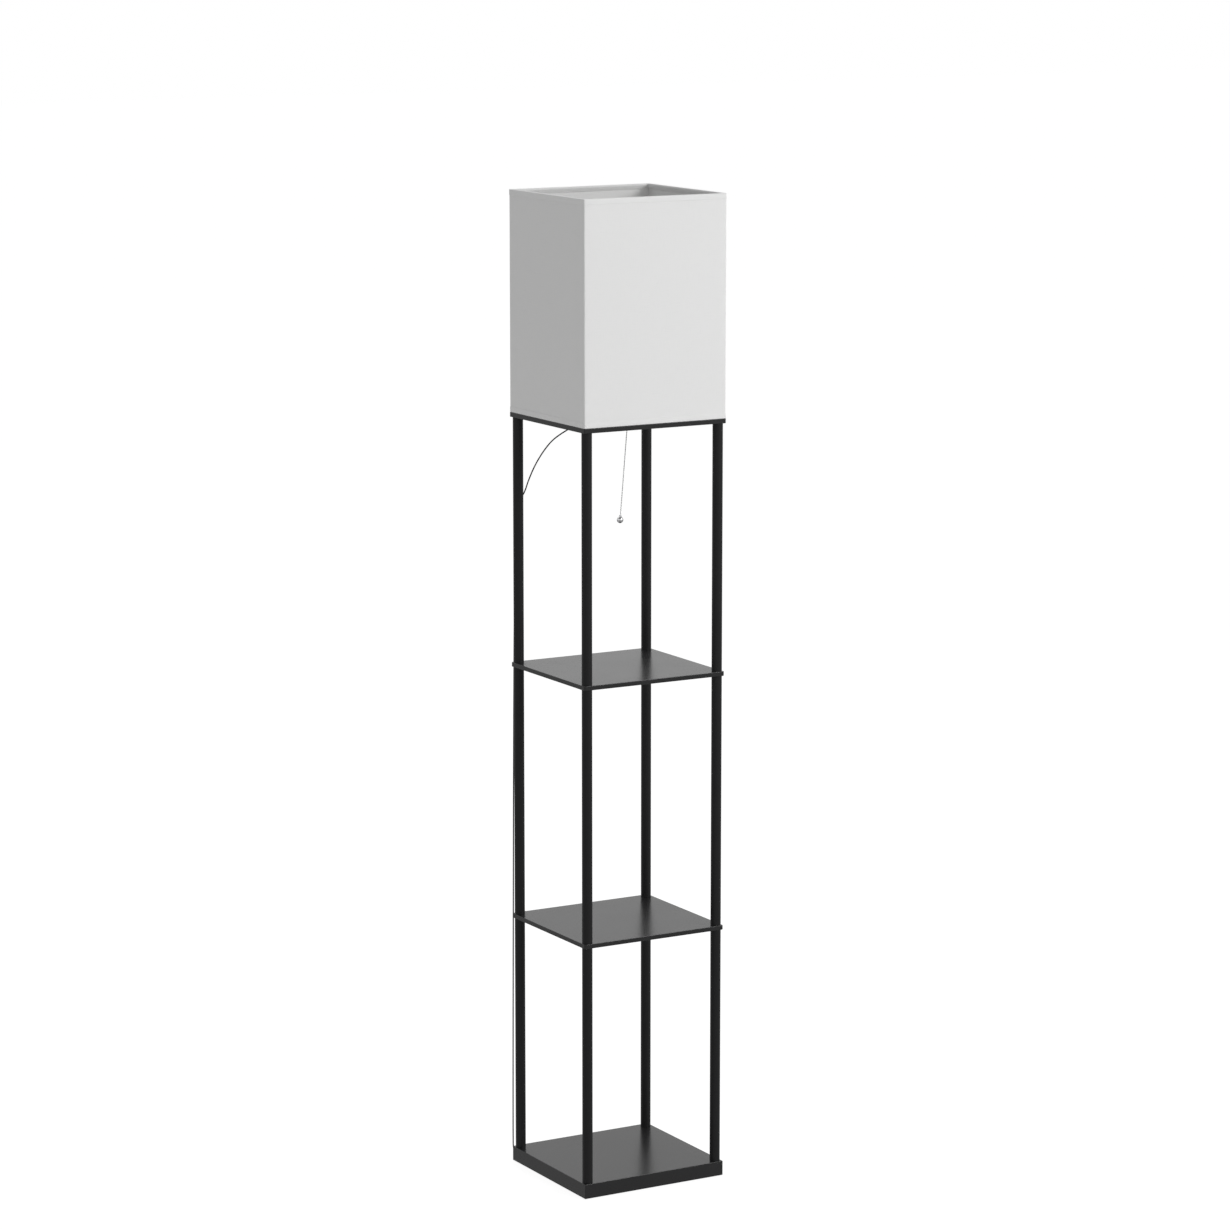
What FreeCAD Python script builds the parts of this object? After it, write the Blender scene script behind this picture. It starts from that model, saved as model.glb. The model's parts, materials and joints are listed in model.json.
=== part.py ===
import FreeCAD, Part
import math
import os

os.makedirs("parts", exist_ok=True)
V = FreeCAD.Vector
up = V(0, 0, 1)

# Shelf floor lamp. Millimetres, +Z up, origin on the floor under the middle of the base.
# The wide face looks along -Y, and the cord hangs at the back left corner (-X, +Y).

# Footprint and levels
footprint_x = 258.0          # base, top plate and shade, along the wide face
footprint_y = 243.0          # the same, front to back
shelf_setback = 0.4          # a shelf's edge lies this far inside the footprint
pad_height = 1.5
base_thickness = 23.8
shelf_thickness = 7.2
plate_thickness = 7.7
lower_post_length = 388.5
middle_post_length = 410.3
upper_post_length = 399.6
shade_height = 355.7

# Boards
base_corner_radius = 1.0
shelf_corner_radius = 4.0
plate_corner_radius = 2.0
board_edge_radius = 0.6
pad_diameter = 20.0
pad_inset = 34.0             # from the base's edges to a pad's centre

# Posts and what joins them
post_diameter = 16.6
post_wall = 1.2
post_inset = 9.8             # from the footprint's edges to a post's centre
insert_length = 16.0
insert_clearance = 0.03      # between an insert and its tube
thread_diameter = 6.0
thread_clearance = 0.05      # round a screw in its insert
hole_clearance = 0.3         # round a screw in a board
screw_engagement = 12.0      # length of thread inside an insert
bolt_head_diameter = 10.0
bolt_head_height = 6.0
bolt_hex = 5.0
washer_diameter = 11.0
washer_thickness = 1.2
bolt_recess_diameter = 12.5
bolt_recess_depth = 9.0
flat_head_diameter = 11.4
flat_head_height = 3.2
flat_head_hex = 4.0
hex_depth = 2.4

# Shade
shade_corner_radius = 2.5
skin_thickness = 1.0
hem_height = 9.0
hem_fabric = 0.5
wire_diameter = 3.2
wire_bend_radius = 2.2       # of a wire's line at the shade's corners
seat_clearance = 0.1         # round a wire in its hem
arm_diameter = 2.8
arm_bend = 3.0               # from an arm's knee back to where its bend starts
arm_overlap = 0.9            # of an arm's end with the fitter's ring
arm_rise = 0.2               # of an arm's line above the ring's underside

# Lamp holder, on the top plate's centre
nipple_diameter = 10.0
nipple_bore = 7.4
nipple_clearance = 0.2
nipple_overhang = 1.0        # beyond each nut
nut_flats = 14.0
nut_thickness = 3.0
holder_radius = 22.0
holder_wall = 2.0
holder_floor = 2.5
holder_height = 30.0
core_thickness = 8.0
core_screw_offset = 9.5      # from the holder's axis
core_screw_radius = 1.5
core_screw_head_radius = 2.6
core_screw_head_height = 1.6
barrel_radius = 19.25
barrel_wall = 2.2
barrel_height = 38.0
barrel_foot = 3.0
ring_seat_height = 12.0      # from the barrel's foot to the top of its shade seat
ring_seat_thickness = 2.0
ring_seat_radius = 23.0
fitter_clearance = 0.75
fitter_ring_radius = 25.0
fitter_ring_thickness = 2.0
shade_ring_radius = 24.5
shade_ring_height = 9.0
shade_ring_clearance = 0.2
shade_ring_gap = 0.3
shade_ring_grips = 24
shade_ring_grip_radius = 0.9

# Lamp base and bulb
cap_radius = 13.0            # crest of the bulb's screw cap
cap_thread_depth = 0.7
cap_thread_pitch = 3.63
cap_turns = 5
cap_wall = 0.5
cap_clearance = 0.35         # between the bulb's cap and the screw shell
shell_wall = 0.4
shell_lip = 2.0              # plain length of the screw shell above its thread
contact_thickness = 0.5
contact_width = 6.0
contact_rise = 1.0           # of the centre contact above the screw heads
contact_margin = 1.5         # from the centre contact to the screw shell's floor
bulb_seat_gap = 0.3          # from the sprung tongue to the bulb's tip
tip_radius = 4.5
tip_height = 1.5
insulator_height = 4.0
cap_collar_height = 3.0
globe_radius = 30.0
globe_height = 82.0
globe_wall = 1.0
globe_neck_margin = 0.6      # of the globe's neck over the cap
globe_neck_length = 8.0
globe_flare_angle = -0.35    # where the flare meets the round part, in radians from level
globe_crown_angle = 0.6      # of a point halfway up the round part
stem_radius = 4.0
stem_height = 30.0
filament_radius = 0.9
filament_length = 30.0
filament_circle = 7.0
filament_overlap = 4.0       # of a filament's foot with the stem
filament_count = 4

# Pull chain and switch
chain_x = 18.5               # the chain's outlet, from the plate's centre
bead_radius = 1.0
bead_pitch = 2.7
link_radius = 0.4
end_bead_radius = 1.4
pull_travel = 9.2
lever_arm = 14.0             # from the switch pin to the chain
lever_angle = 18.7           # above level at rest, in degrees
lever_thickness = 1.4
lever_width = 4.0
lever_overhang = 2.0
lever_slot_width = 1.4
lever_slot_length = 5.0
lever_hub_radius = 3.2
lever_hub_width = 5.0
lever_gap = 0.3              # between the top bead and the lever
top_link_length = 6.0
pin_height = 19.0            # the switch pin above the plate
pin_radius = 1.5
pin_clearance = 0.05
rotor_radius = 6.5
rotor_width = 4.0
rotor_offset = 3.2           # from the lever's middle to the rotor's near face
rotor_notches = 4
rotor_notch_radius = 1.4
strip_gap = 0.4
strip_width = 3.0
cheek_thickness = 1.0
cheek_gap = 0.7              # from lever hub or rotor to the nearer cheek
cheek_width = 7.0
cheek_drop = 13.0
channel_radius = 3.6
boss_radius = 5.6
chain_clearance = 0.9
eyelet_wall = 0.8
eyelet_flange = 1.6
eyelet_flange_thickness = 0.8
spring_x = 12.0
spring_radius = 2.2
spring_wire = 0.7
spring_turns = 7.5           # its upper end lies where the lever is lowest
spring_gap = 0.3
swing_pivot_drop = 8.6       # under the plate
chain_slant = 4.97           # degrees off plumb
ball_radius = 5.3
ball_drop = 153.3            # from the swing pivot to the ball's centre
collar_radius = 2.2
collar_height = 3.0
connector_radius = 1.7
connector_length = 5.0
joint_gap = 0.3

# Cord outlet under the plate
cup_radius = 14.0
cup_height = 12.0
cup_wall = 1.6
lid_clearance = 0.05
relief_drop = 6.5            # the cord's axis under the plate
relief_length = 22.0
relief_root_radius = 2.8
relief_tip_radius = 1.6
relief_flange_radius = 3.4
relief_flange_thickness = 1.2
relief_clearance = 0.1

# Cord, clip and plug
cord_diameter = 2.2
cord_lead = 26.0             # straight run of the cord out of its strain relief
cord_bend_share = 0.45       # of the shorter leg at a bend, which the bend takes
cord_gap = 0.45              # between neighbouring turns of the coil
floor_gap = 0.05
outlet_aim_x = 112.0         # the cord leaves its outlet towards the inner side of the back left post
outlet_aim_y = 118.0
cord_bends = [               # from the back left post's centre along X and Y, and down from the plate
    (49.8, -38.6, 29.7),
    (38.3, -26.5, 46.5),
    (26.0, -13.1, 73.7),
    (17.4, -3.0, 102.5),
    (13.6, 2.9, 123.1),
    (7.8, 11.7, 138.1),
    (-0.4, 13.5, 154.1),
]
cord_foot_bends = [          # the same along X and Y, and up from the base's top
    (-7.7, 13.3, 12.7),
    (-6.0, 14.1, -11.3),
]
floor_bend_x = 5.6           # the cord's first bend on the floor, from the same post
floor_bend_y = 16.1
coil_lead_in = 15.5          # from its second bend on the floor to the coil's start, along X
coil_inset = 45.0            # from the footprint's left edge to the coil's centre
coil_setout = 21.5           # from the footprint's back edge to the coil's centre
coil_inner_radius = 9.7
coil_turns_per_layer = 2.5
coil_layers = 4
coil_climb = 0.5             # turns in which the cord climbs one layer
tail_run = 44.0              # from the coil to the plug's neck, along X
tail_shift = 8.0             # the same, along Y
clip_height = 8.0
clip_drop = 166.1            # from the plate to the clip's upper edge
clip_wall = 0.8
clip_clearance = 0.05
clip_eye_clearance = 0.3
clip_web = 2.4
clip_near_side = 3.0         # from the post's centre to the saddle's ends along X
clip_far_side = 9.2
clip_front = 3.0             # from the post's centre back to the saddle's end along Y
clip_mouth_angle = 151.0     # where the cord snaps into the eye, in degrees from +X
clip_mouth_reach = 1.2       # from the eye's centre to its mouth
plug_length = 28.0
plug_width = 24.0
plug_height = 13.0
plug_corner_radius = 3.0
plug_neck_length = 20.0
plug_neck_radius = 3.2
plug_neck_tip_radius = 1.6
blade_length = 17.5
blade_width = 6.35
blade_thickness = 1.5
blade_spacing = 12.7
blade_hole_radius = 1.6
blade_hole_inset = 4.0

# Levels worked out from the sizes above
base_bottom = pad_height
base_top = base_bottom + base_thickness
lower_shelf_bottom = base_top + lower_post_length
lower_shelf_top = lower_shelf_bottom + shelf_thickness
upper_shelf_bottom = lower_shelf_top + middle_post_length
upper_shelf_top = upper_shelf_bottom + shelf_thickness
plate_bottom = upper_shelf_top + upper_post_length
plate_top = plate_bottom + plate_thickness
shade_top = plate_top + shade_height
post_x = footprint_x / 2 - post_inset
post_y = footprint_y / 2 - post_inset
post_inner_radius = post_diameter / 2 - post_wall
thread_radius = thread_diameter / 2
corners = {
    "front_left": (-1, -1),
    "front_right": (1, -1),
    "back_left": (-1, 1),
    "back_right": (1, 1),
}
post_places = {name: V(sx * post_x, sy * post_y, 0) for name, (sx, sy) in corners.items()}


def save(shape, name):
    """Write one node."""
    shape.exportStep("parts/" + name + ".step")


def group(solids):
    """Several separate solids in one node."""
    return Part.makeCompound(solids)


def cylinder(radius, height, place=V(0, 0, 0), axis=up):
    return Part.makeCylinder(radius, height, place, axis)


def disc_ring(outer, inner, height, place):
    return cylinder(outer, height, place).cut(cylinder(inner, height, place))


def hexagon(flats, height, place):
    """Hexagonal prism, measured across its flats."""
    reach = flats / 2 / math.cos(math.pi / 6)
    points = []
    for step in range(7):
        angle = step * math.pi / 3
        points.append(place + V(reach * math.cos(angle), reach * math.sin(angle), 0))
    return Part.Face(Part.makePolygon(points)).extrude(V(0, 0, height))


def block(x, y, z, bottom, radius=0.0, centre=V(0, 0, 0)):
    """Box centred in X and Y, with rounded upright corners."""
    corner = centre + V(-x / 2, -y / 2, bottom)
    solid = Part.makeBox(x, y, z, corner)
    if radius > 0:
        uprights = [edge for edge in solid.Edges if abs(edge.tangentAt(edge.FirstParameter).z) > 0.9]
        solid = solid.makeFillet(radius, uprights)
    return solid


def board(x, y, thickness, bottom, corner_radius):
    """Board whose upper and lower edges are lightly rounded."""
    solid = block(x, y, thickness, bottom, corner_radius)
    rims = []
    for edge in solid.Edges:
        ends = [vertex.Z for vertex in edge.Vertexes]
        if max(ends) - min(ends) < 1e-6:
            rims.append(edge)
    return solid.makeFillet(board_edge_radius, rims)


def revolve(points):
    """Solid of revolution about Z from a closed outline of (radius, height)."""
    outline = Part.makePolygon([V(r, 0, z) for r, z in points + points[:1]])
    return Part.Face(outline).revolve(V(0, 0, 0), up, 360)


def arc_through_corner(start, corner, end):
    """Arc that leaves start and reaches end along the two legs of a corner."""
    middle = (start + end) * 0.5
    half_chord = (end - start).Length / 2
    rise = corner - middle
    if rise.Length < 1e-9:
        return Part.LineSegment(start, end).toShape()
    half_turn = math.atan2(rise.Length, half_chord)
    crown = middle + rise * (half_chord * math.tan(half_turn / 2) / rise.Length)
    return Part.Arc(start, crown, end).toShape()


def biarc(start, start_way, end, end_way):
    """Two tangent arcs from start to end that keep the given directions."""
    chord = end - start
    ways = start_way + end_way
    a = 2 * (1 - start_way.dot(end_way))
    b = 2 * chord.dot(ways)
    c = -chord.dot(chord)
    if abs(a) < 1e-9:
        reach = -c / b
    else:
        reach = (-b + math.sqrt(b * b - 4 * a * c)) / (2 * a)
    first = start + start_way * reach
    second = end - end_way * reach
    middle = (first + second) * 0.5
    return [arc_through_corner(start, first, middle), arc_through_corner(middle, second, end)]


def tube_along(edges, radius, start, way):
    """Round rod swept along a wire."""
    rim = Part.Wire([Part.makeCircle(radius, start, way)])
    return Part.Wire(edges).makePipeShell([rim], True, False)


def unit(vector):
    return vector * (1 / vector.Length)


# Boards, pads and posts

bolt_seat = base_bottom + bolt_recess_depth
bolt_places = list(post_places.values())

base = board(footprint_x, footprint_y, base_thickness, base_bottom, base_corner_radius)
for place in bolt_places:
    base = base.cut(cylinder(thread_radius + hole_clearance, base_thickness, place + V(0, 0, base_bottom)))
    base = base.cut(cylinder(bolt_recess_diameter / 2, bolt_recess_depth, place + V(0, 0, base_bottom)))
save(base, "base_board")

pads = []
for sx, sy in corners.values():
    place = V(sx * (footprint_x / 2 - pad_inset), sy * (footprint_y / 2 - pad_inset), 0)
    pads.append(cylinder(pad_diameter / 2, pad_height, place))
save(group(pads), "floor_pads")

shelf_x = footprint_x - 2 * shelf_setback
shelf_y = footprint_y - 2 * shelf_setback
for name, bottom in (("lower_shelf", lower_shelf_bottom), ("upper_shelf", upper_shelf_bottom)):
    shelf = board(shelf_x, shelf_y, shelf_thickness, bottom, shelf_corner_radius)
    for place in bolt_places:
        shelf = shelf.cut(cylinder(thread_radius + hole_clearance, shelf_thickness, place + V(0, 0, bottom)))
    save(shelf, name)

tiers = {
    "lower": (base_top, lower_post_length),
    "middle": (lower_shelf_top, middle_post_length),
    "upper": (upper_shelf_top, upper_post_length),
}
insert_radius = post_inner_radius - insert_clearance
inserts = []
for tier, (bottom, length) in tiers.items():
    for corner, place in post_places.items():
        foot = place + V(0, 0, bottom)
        save(disc_ring(post_diameter / 2, post_inner_radius, length, foot), tier + "_post_" + corner)
        for start in (foot, foot + V(0, 0, length - insert_length)):
            inserts.append(disc_ring(insert_radius, thread_radius + thread_clearance, insert_length, start))
save(group(inserts), "post_inserts")

studs = []
for bottom in (lower_shelf_bottom, upper_shelf_bottom):
    length = shelf_thickness + 2 * screw_engagement
    start = V(0, 0, bottom - screw_engagement)
    studs += [cylinder(thread_radius, length, place + start) for place in bolt_places]
save(group(studs), "shelf_studs")

bolts = []
washers = []
for place in bolt_places:
    head_top = bolt_seat - washer_thickness
    shank = cylinder(thread_radius, base_top + screw_engagement - head_top, place + V(0, 0, head_top))
    head_bottom = place + V(0, 0, head_top - bolt_head_height)
    head = cylinder(bolt_head_diameter / 2, bolt_head_height, head_bottom)
    bolts.append(head.fuse(shank).cut(hexagon(bolt_hex, hex_depth, head_bottom)).removeSplitter())
    inner = thread_radius + hole_clearance
    washers.append(disc_ring(washer_diameter / 2, inner, washer_thickness, place + V(0, 0, head_top)))
save(group(bolts), "base_bolts")
save(group(washers), "base_washers")

# Top plate and its screws

flat_head_radius = flat_head_diameter / 2


def flat_head(clearance, place):
    """Cone of a countersunk head, flush with the plate's upper face."""
    small = thread_radius + clearance
    foot = place + V(0, 0, plate_top - flat_head_height)
    return Part.makeCone(small, flat_head_radius + clearance, flat_head_height, foot, up)


plate = board(footprint_x, footprint_y, plate_thickness, plate_bottom, plate_corner_radius)
top_screws = []
for place in bolt_places:
    plate = plate.cut(cylinder(thread_radius + hole_clearance, plate_thickness, place + V(0, 0, plate_bottom)))
    plate = plate.cut(flat_head(seat_clearance, place))
    screw_foot = place + V(0, 0, plate_bottom - screw_engagement)
    shank = cylinder(thread_radius, plate_top - screw_foot.z - flat_head_height, screw_foot)
    screw = shank.fuse(flat_head(0.0, place)).removeSplitter()
    top_screws.append(screw.cut(hexagon(flat_head_hex, hex_depth, place + V(0, 0, plate_top - hex_depth))))
save(group(top_screws), "top_screws")

eyelet_bore = bead_radius + chain_clearance
eyelet_radius = eyelet_bore + eyelet_wall
chain_place = V(chain_x, 0, 0)
plate = plate.cut(cylinder(nipple_diameter / 2 + nipple_clearance, plate_thickness, V(0, 0, plate_bottom)))
eyelet_hole = cylinder(eyelet_radius + seat_clearance, plate_thickness, chain_place + V(0, 0, plate_bottom))
save(plate.cut(eyelet_hole), "top_plate")

eyelet = cylinder(eyelet_radius, plate_thickness, chain_place + V(0, 0, plate_bottom))
flange_place = chain_place + V(0, 0, plate_bottom - eyelet_flange_thickness)
eyelet = eyelet.fuse(cylinder(eyelet_radius + eyelet_flange, eyelet_flange_thickness, flange_place))
eyelet_length = plate_thickness + eyelet_flange_thickness
save(eyelet.cut(cylinder(eyelet_bore, eyelet_length, flange_place)).removeSplitter(), "chain_eyelet")

# Nipple, its nuts and the cord outlet under the plate

holder_nut_bottom = plate_top + holder_floor
nipple_top = holder_nut_bottom + nut_thickness + nipple_overhang
nipple_bottom = plate_bottom - cup_wall - nut_thickness - nipple_overhang
nipple_length = nipple_top - nipple_bottom
save(disc_ring(nipple_diameter / 2, nipple_bore / 2, nipple_length, V(0, 0, nipple_bottom)), "threaded_nipple")


def nut(bottom):
    """Lock nut on the nipple."""
    solid = hexagon(nut_flats, nut_thickness, V(0, 0, bottom))
    return solid.cut(cylinder(nipple_diameter / 2 + thread_clearance, nut_thickness, V(0, 0, bottom)))


save(group([nut(holder_nut_bottom), nut(plate_bottom - cup_wall - nut_thickness)]), "nipple_nuts")

cord_radius = cord_diameter / 2
outlet_way = unit(V(-outlet_aim_x, outlet_aim_y, 0))
relief_axis = V(0, 0, plate_bottom - relief_drop)
cup = cylinder(cup_radius, cup_height, V(0, 0, plate_bottom - cup_height))
cup_inner = cup_radius - cup_wall
cup = cup.cut(cylinder(cup_inner, cup_height - cup_wall, V(0, 0, plate_bottom - cup_height)))
cup = cup.cut(cylinder(nipple_diameter / 2 + nipple_clearance, cup_height, V(0, 0, plate_bottom - cup_height)))
relief_hole = cylinder(relief_root_radius + relief_clearance, cup_radius, relief_axis, outlet_way)
save(cup.cut(relief_hole), "outlet_cup")
save(cylinder(cup_inner - lid_clearance, cup_wall, V(0, 0, plate_bottom - cup_height)), "outlet_lid")

flange_reach = math.sqrt(cup_inner ** 2 - relief_flange_radius ** 2) - relief_flange_thickness - relief_clearance
flange_start = relief_axis + outlet_way * flange_reach
relief_start = relief_axis + outlet_way * (flange_reach + relief_flange_thickness)
cup_face = relief_axis + outlet_way * cup_radius
root_length = (cup_face - relief_start).Length
relief = cylinder(relief_flange_radius, relief_flange_thickness, flange_start, outlet_way)
relief = relief.fuse(cylinder(relief_root_radius, root_length, relief_start, outlet_way))
taper = Part.makeCone(relief_root_radius, relief_tip_radius, relief_length, cup_face, outlet_way)
save(relief.fuse(taper).removeSplitter(), "strain_relief")

# Lamp holder

holder_top = plate_top + holder_height
housing = cylinder(holder_radius, holder_height, V(0, 0, plate_top))
housing = housing.fuse(cylinder(boss_radius, holder_height, chain_place + V(0, 0, plate_top)))
inside_height = holder_height - holder_floor
inside = cylinder(holder_radius - holder_wall, inside_height, V(0, 0, plate_top + holder_floor))
inside = inside.fuse(cylinder(channel_radius, inside_height, chain_place + V(0, 0, plate_top + holder_floor)))
housing = housing.cut(inside)
housing = housing.cut(cylinder(nipple_diameter / 2 + nipple_clearance, holder_floor, V(0, 0, plate_top)))
housing = housing.cut(cylinder(eyelet_bore, holder_floor, chain_place + V(0, 0, plate_top)))
save(housing.removeSplitter(), "switch_housing")

barrel_inner = barrel_radius - barrel_wall
ring_seat_top = holder_top + ring_seat_height
barrel = cylinder(barrel_radius, barrel_height, V(0, 0, holder_top))
barrel = barrel.fuse(cylinder(holder_radius, barrel_foot, V(0, 0, holder_top)))
seat_bottom = V(0, 0, ring_seat_top - ring_seat_thickness)
barrel = barrel.fuse(cylinder(ring_seat_radius, ring_seat_thickness, seat_bottom))
barrel = barrel.cut(cylinder(barrel_inner, barrel_height, V(0, 0, holder_top)))
save(barrel.removeSplitter(), "holder_barrel")

core_radius = barrel_inner - seat_clearance
core_top = holder_top + core_thickness
core = cylinder(core_radius, core_thickness, V(0, 0, holder_top))
core_screws = []
for side in (-1, 1):
    foot = V(0, side * core_screw_offset, holder_top)
    core = core.cut(cylinder(core_screw_radius + seat_clearance, core_thickness, foot))
    screw = cylinder(core_screw_radius, core_thickness + contact_thickness, foot)
    head_place = foot + V(0, 0, core_thickness + contact_thickness)
    core_screws.append(screw.fuse(cylinder(core_screw_head_radius, core_screw_head_height, head_place)))
save(core, "socket_core")
save(group([screw.removeSplitter() for screw in core_screws]), "shell_screws")


def thread_outline(radius, bottom, turns):
    """Rolled screw thread drawn as rounded ribs, as (radius, height) from bottom to top."""
    points = []
    steps = 4
    for step in range(turns * steps + 1):
        wave = (1 + math.cos(2 * math.pi * step / steps)) / 2
        points.append((radius - cap_thread_depth * (1 - wave), bottom + step * cap_thread_pitch / steps))
    return points


# The bulb stands on the sprung tongue, and its cap's thread starts above the insulator.
tongue_top = core_top + contact_thickness + core_screw_head_height + contact_rise
bulb_foot = tongue_top + bulb_seat_gap
cap_bottom = bulb_foot + tip_height + insulator_height
cap_length = cap_turns * cap_thread_pitch
cap_top = cap_bottom + cap_length

shell_radius = cap_radius + cap_clearance
inner_line = thread_outline(shell_radius, cap_bottom, cap_turns)
inner_line.append((shell_radius, cap_top + shell_lip))
shell_bottom = core_top
inner_line.insert(0, (shell_radius, shell_bottom + shell_wall))
outer_line = [(radius + shell_wall, height) for radius, height in reversed(inner_line)]
outer_line[-1] = (shell_radius + shell_wall, shell_bottom)
shell_hole = contact_width / 2 + contact_margin
floor_line = [(shell_hole, shell_bottom), (shell_hole, shell_bottom + shell_wall)]
screw_shell = revolve(inner_line + outer_line + floor_line)
for side in (-1, 1):
    foot = V(0, side * core_screw_offset, shell_bottom)
    screw_shell = screw_shell.cut(cylinder(core_screw_radius + seat_clearance, shell_wall, foot))
save(screw_shell, "screw_shell")

tongue_foot = block(contact_width, contact_width, tongue_top - core_top - contact_thickness, core_top)
tongue_leaf = block(contact_width, contact_width, contact_thickness, tongue_top - contact_thickness)
save(tongue_foot.fuse(tongue_leaf).removeSplitter(), "centre_contact")

cap_outline = thread_outline(cap_radius, cap_bottom, cap_turns)
cap_outline.append((cap_radius, cap_top + cap_collar_height))
cap_inner = cap_radius - cap_thread_depth - cap_wall
cap_outline += [(cap_inner, cap_top + cap_collar_height), (cap_inner, cap_bottom)]
save(revolve(cap_outline), "bulb_screw_cap")

insulator = Part.makeCone(tip_radius, cap_inner, insulator_height, V(0, 0, cap_bottom - insulator_height), up)
save(insulator, "bulb_insulator")
save(cylinder(tip_radius, tip_height, V(0, 0, bulb_foot)), "bulb_tip_contact")

# Pear-shaped globe: a neck, a flare and a round crown
globe_bottom = cap_top + cap_collar_height
globe_centre = globe_bottom + globe_height - globe_radius
neck_radius = cap_radius + globe_neck_margin


def globe(inset):
    """Body of the globe, smaller by the inset all over."""
    radius = globe_radius - inset

    def round_point(angle):
        return V(radius * math.cos(angle), 0, globe_centre + radius * math.sin(angle))

    flare_start = V(neck_radius - inset, 0, globe_bottom + globe_neck_length)
    flare_end = round_point(globe_flare_angle)
    lower = Part.LineSegment(V(neck_radius - inset, 0, globe_bottom), flare_start).toShape()
    flare = Part.LineSegment(flare_start, flare_end).toShape()
    crown_middle = round_point(globe_crown_angle)
    crown = Part.Arc(flare_end, crown_middle, V(0, 0, globe_centre + radius)).toShape()
    axis_line = Part.LineSegment(V(0, 0, globe_centre + radius), V(0, 0, globe_bottom)).toShape()
    bottom_line = Part.LineSegment(V(0, 0, globe_bottom), V(neck_radius - inset, 0, globe_bottom)).toShape()
    return Part.Face(Part.Wire([lower, flare, crown, axis_line, bottom_line])).revolve(V(0, 0, 0), up, 360)


save(globe(0.0).cut(globe(globe_wall)), "bulb_globe")

stem_foot = V(0, 0, globe_bottom)
stem = cylinder(cap_inner, globe_wall, stem_foot).fuse(cylinder(stem_radius, stem_height, stem_foot))
save(stem.removeSplitter(), "bulb_stem")
filaments = []
for index in range(filament_count):
    angle = 2 * math.pi * index / filament_count
    lean = V(math.cos(angle), math.sin(angle), 0)
    level = stem_foot + V(0, 0, stem_height - filament_overlap)
    foot = level + lean * (stem_radius + filament_radius)
    tip = level + V(0, 0, filament_length) + lean * filament_circle
    filaments.append(cylinder(filament_radius, (tip - foot).Length, foot, tip - foot))
save(group(filaments), "bulb_filaments")

# Shade ring: a gripped ring screwed down on the barrel over the shade's fitter

shade_ring_bottom = ring_seat_top + fitter_ring_thickness + shade_ring_gap
ring_place = V(0, 0, shade_ring_bottom)
shade_ring = disc_ring(shade_ring_radius, barrel_radius + shade_ring_clearance, shade_ring_height, ring_place)
for index in range(shade_ring_grips):
    angle = 2 * math.pi * index / shade_ring_grips
    groove_place = V(shade_ring_radius * math.cos(angle), shade_ring_radius * math.sin(angle), shade_ring_bottom)
    shade_ring = shade_ring.cut(cylinder(shade_ring_grip_radius, shade_ring_height, groove_place))
save(shade_ring, "shade_ring")

# Shade: a fabric skin, its hems, the wires inside them and the fitter

wire_radius = wire_diameter / 2
wire_inset = hem_fabric + skin_thickness + seat_clearance + wire_radius
hem_width = wire_inset + wire_radius + seat_clearance + hem_fabric


def frame_ring(outer_inset, inner_inset, height, bottom):
    """Four-sided ring between two insets from the shade's outer face."""
    outer_radius = max(shade_corner_radius - outer_inset, 0.5)
    inner_radius = max(shade_corner_radius - inner_inset, 0.5)
    outside = block(footprint_x - 2 * outer_inset, footprint_y - 2 * outer_inset, height, bottom, outer_radius)
    inside_part = block(footprint_x - 2 * inner_inset, footprint_y - 2 * inner_inset, height, bottom, inner_radius)
    return outside.cut(inside_part)


edge_seat = hem_fabric + seat_clearance
skin_height = shade_height - 2 * edge_seat
skin = frame_ring(hem_fabric, hem_fabric + skin_thickness, skin_height, plate_top + edge_seat)
save(skin, "shade_skin")

pocket_height = hem_height - hem_fabric
pocket_outer = hem_fabric - 0.02
pocket_inner = hem_width - hem_fabric
bottom_hem = frame_ring(0.0, hem_width, hem_height, plate_top)
bottom_hem = bottom_hem.cut(frame_ring(pocket_outer, pocket_inner, pocket_height, plate_top + hem_fabric))
top_hem = frame_ring(0.0, hem_width, hem_height, shade_top - hem_height)
top_hem = top_hem.cut(frame_ring(pocket_outer, pocket_inner, pocket_height, shade_top - hem_height))
save(group([bottom_hem, top_hem]), "shade_hems")


def wire_frame(level):
    """Closed rectangular wire with bent corners, welded."""
    half_x = footprint_x / 2 - wire_inset
    half_y = footprint_y / 2 - wire_inset
    rods = []
    for side in (-1, 1):
        start = V(-half_x + wire_bend_radius, side * half_y, level)
        rods.append(cylinder(wire_radius, 2 * (half_x - wire_bend_radius), start, V(1, 0, 0)))
        start = V(side * half_x, -half_y + wire_bend_radius, level)
        rods.append(cylinder(wire_radius, 2 * (half_y - wire_bend_radius), start, V(0, 1, 0)))
    for sx, sy, turn in ((1, 1, 0), (-1, 1, 90), (-1, -1, 180), (1, -1, 270)):
        centre = V(sx * (half_x - wire_bend_radius), sy * (half_y - wire_bend_radius), level)
        bend = Part.makeTorus(wire_bend_radius, wire_radius, V(0, 0, 0), up, -180, 180, 90)
        bend.rotate(V(0, 0, 0), up, turn)
        bend.translate(centre)
        rods.append(bend)
    return rods[0].multiFuse(rods[1:]).removeSplitter()


wire_rise = hem_fabric + seat_clearance + wire_radius
bottom_wire_level = plate_top + wire_rise
save(wire_frame(shade_top - wire_rise), "shade_top_wire")

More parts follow.
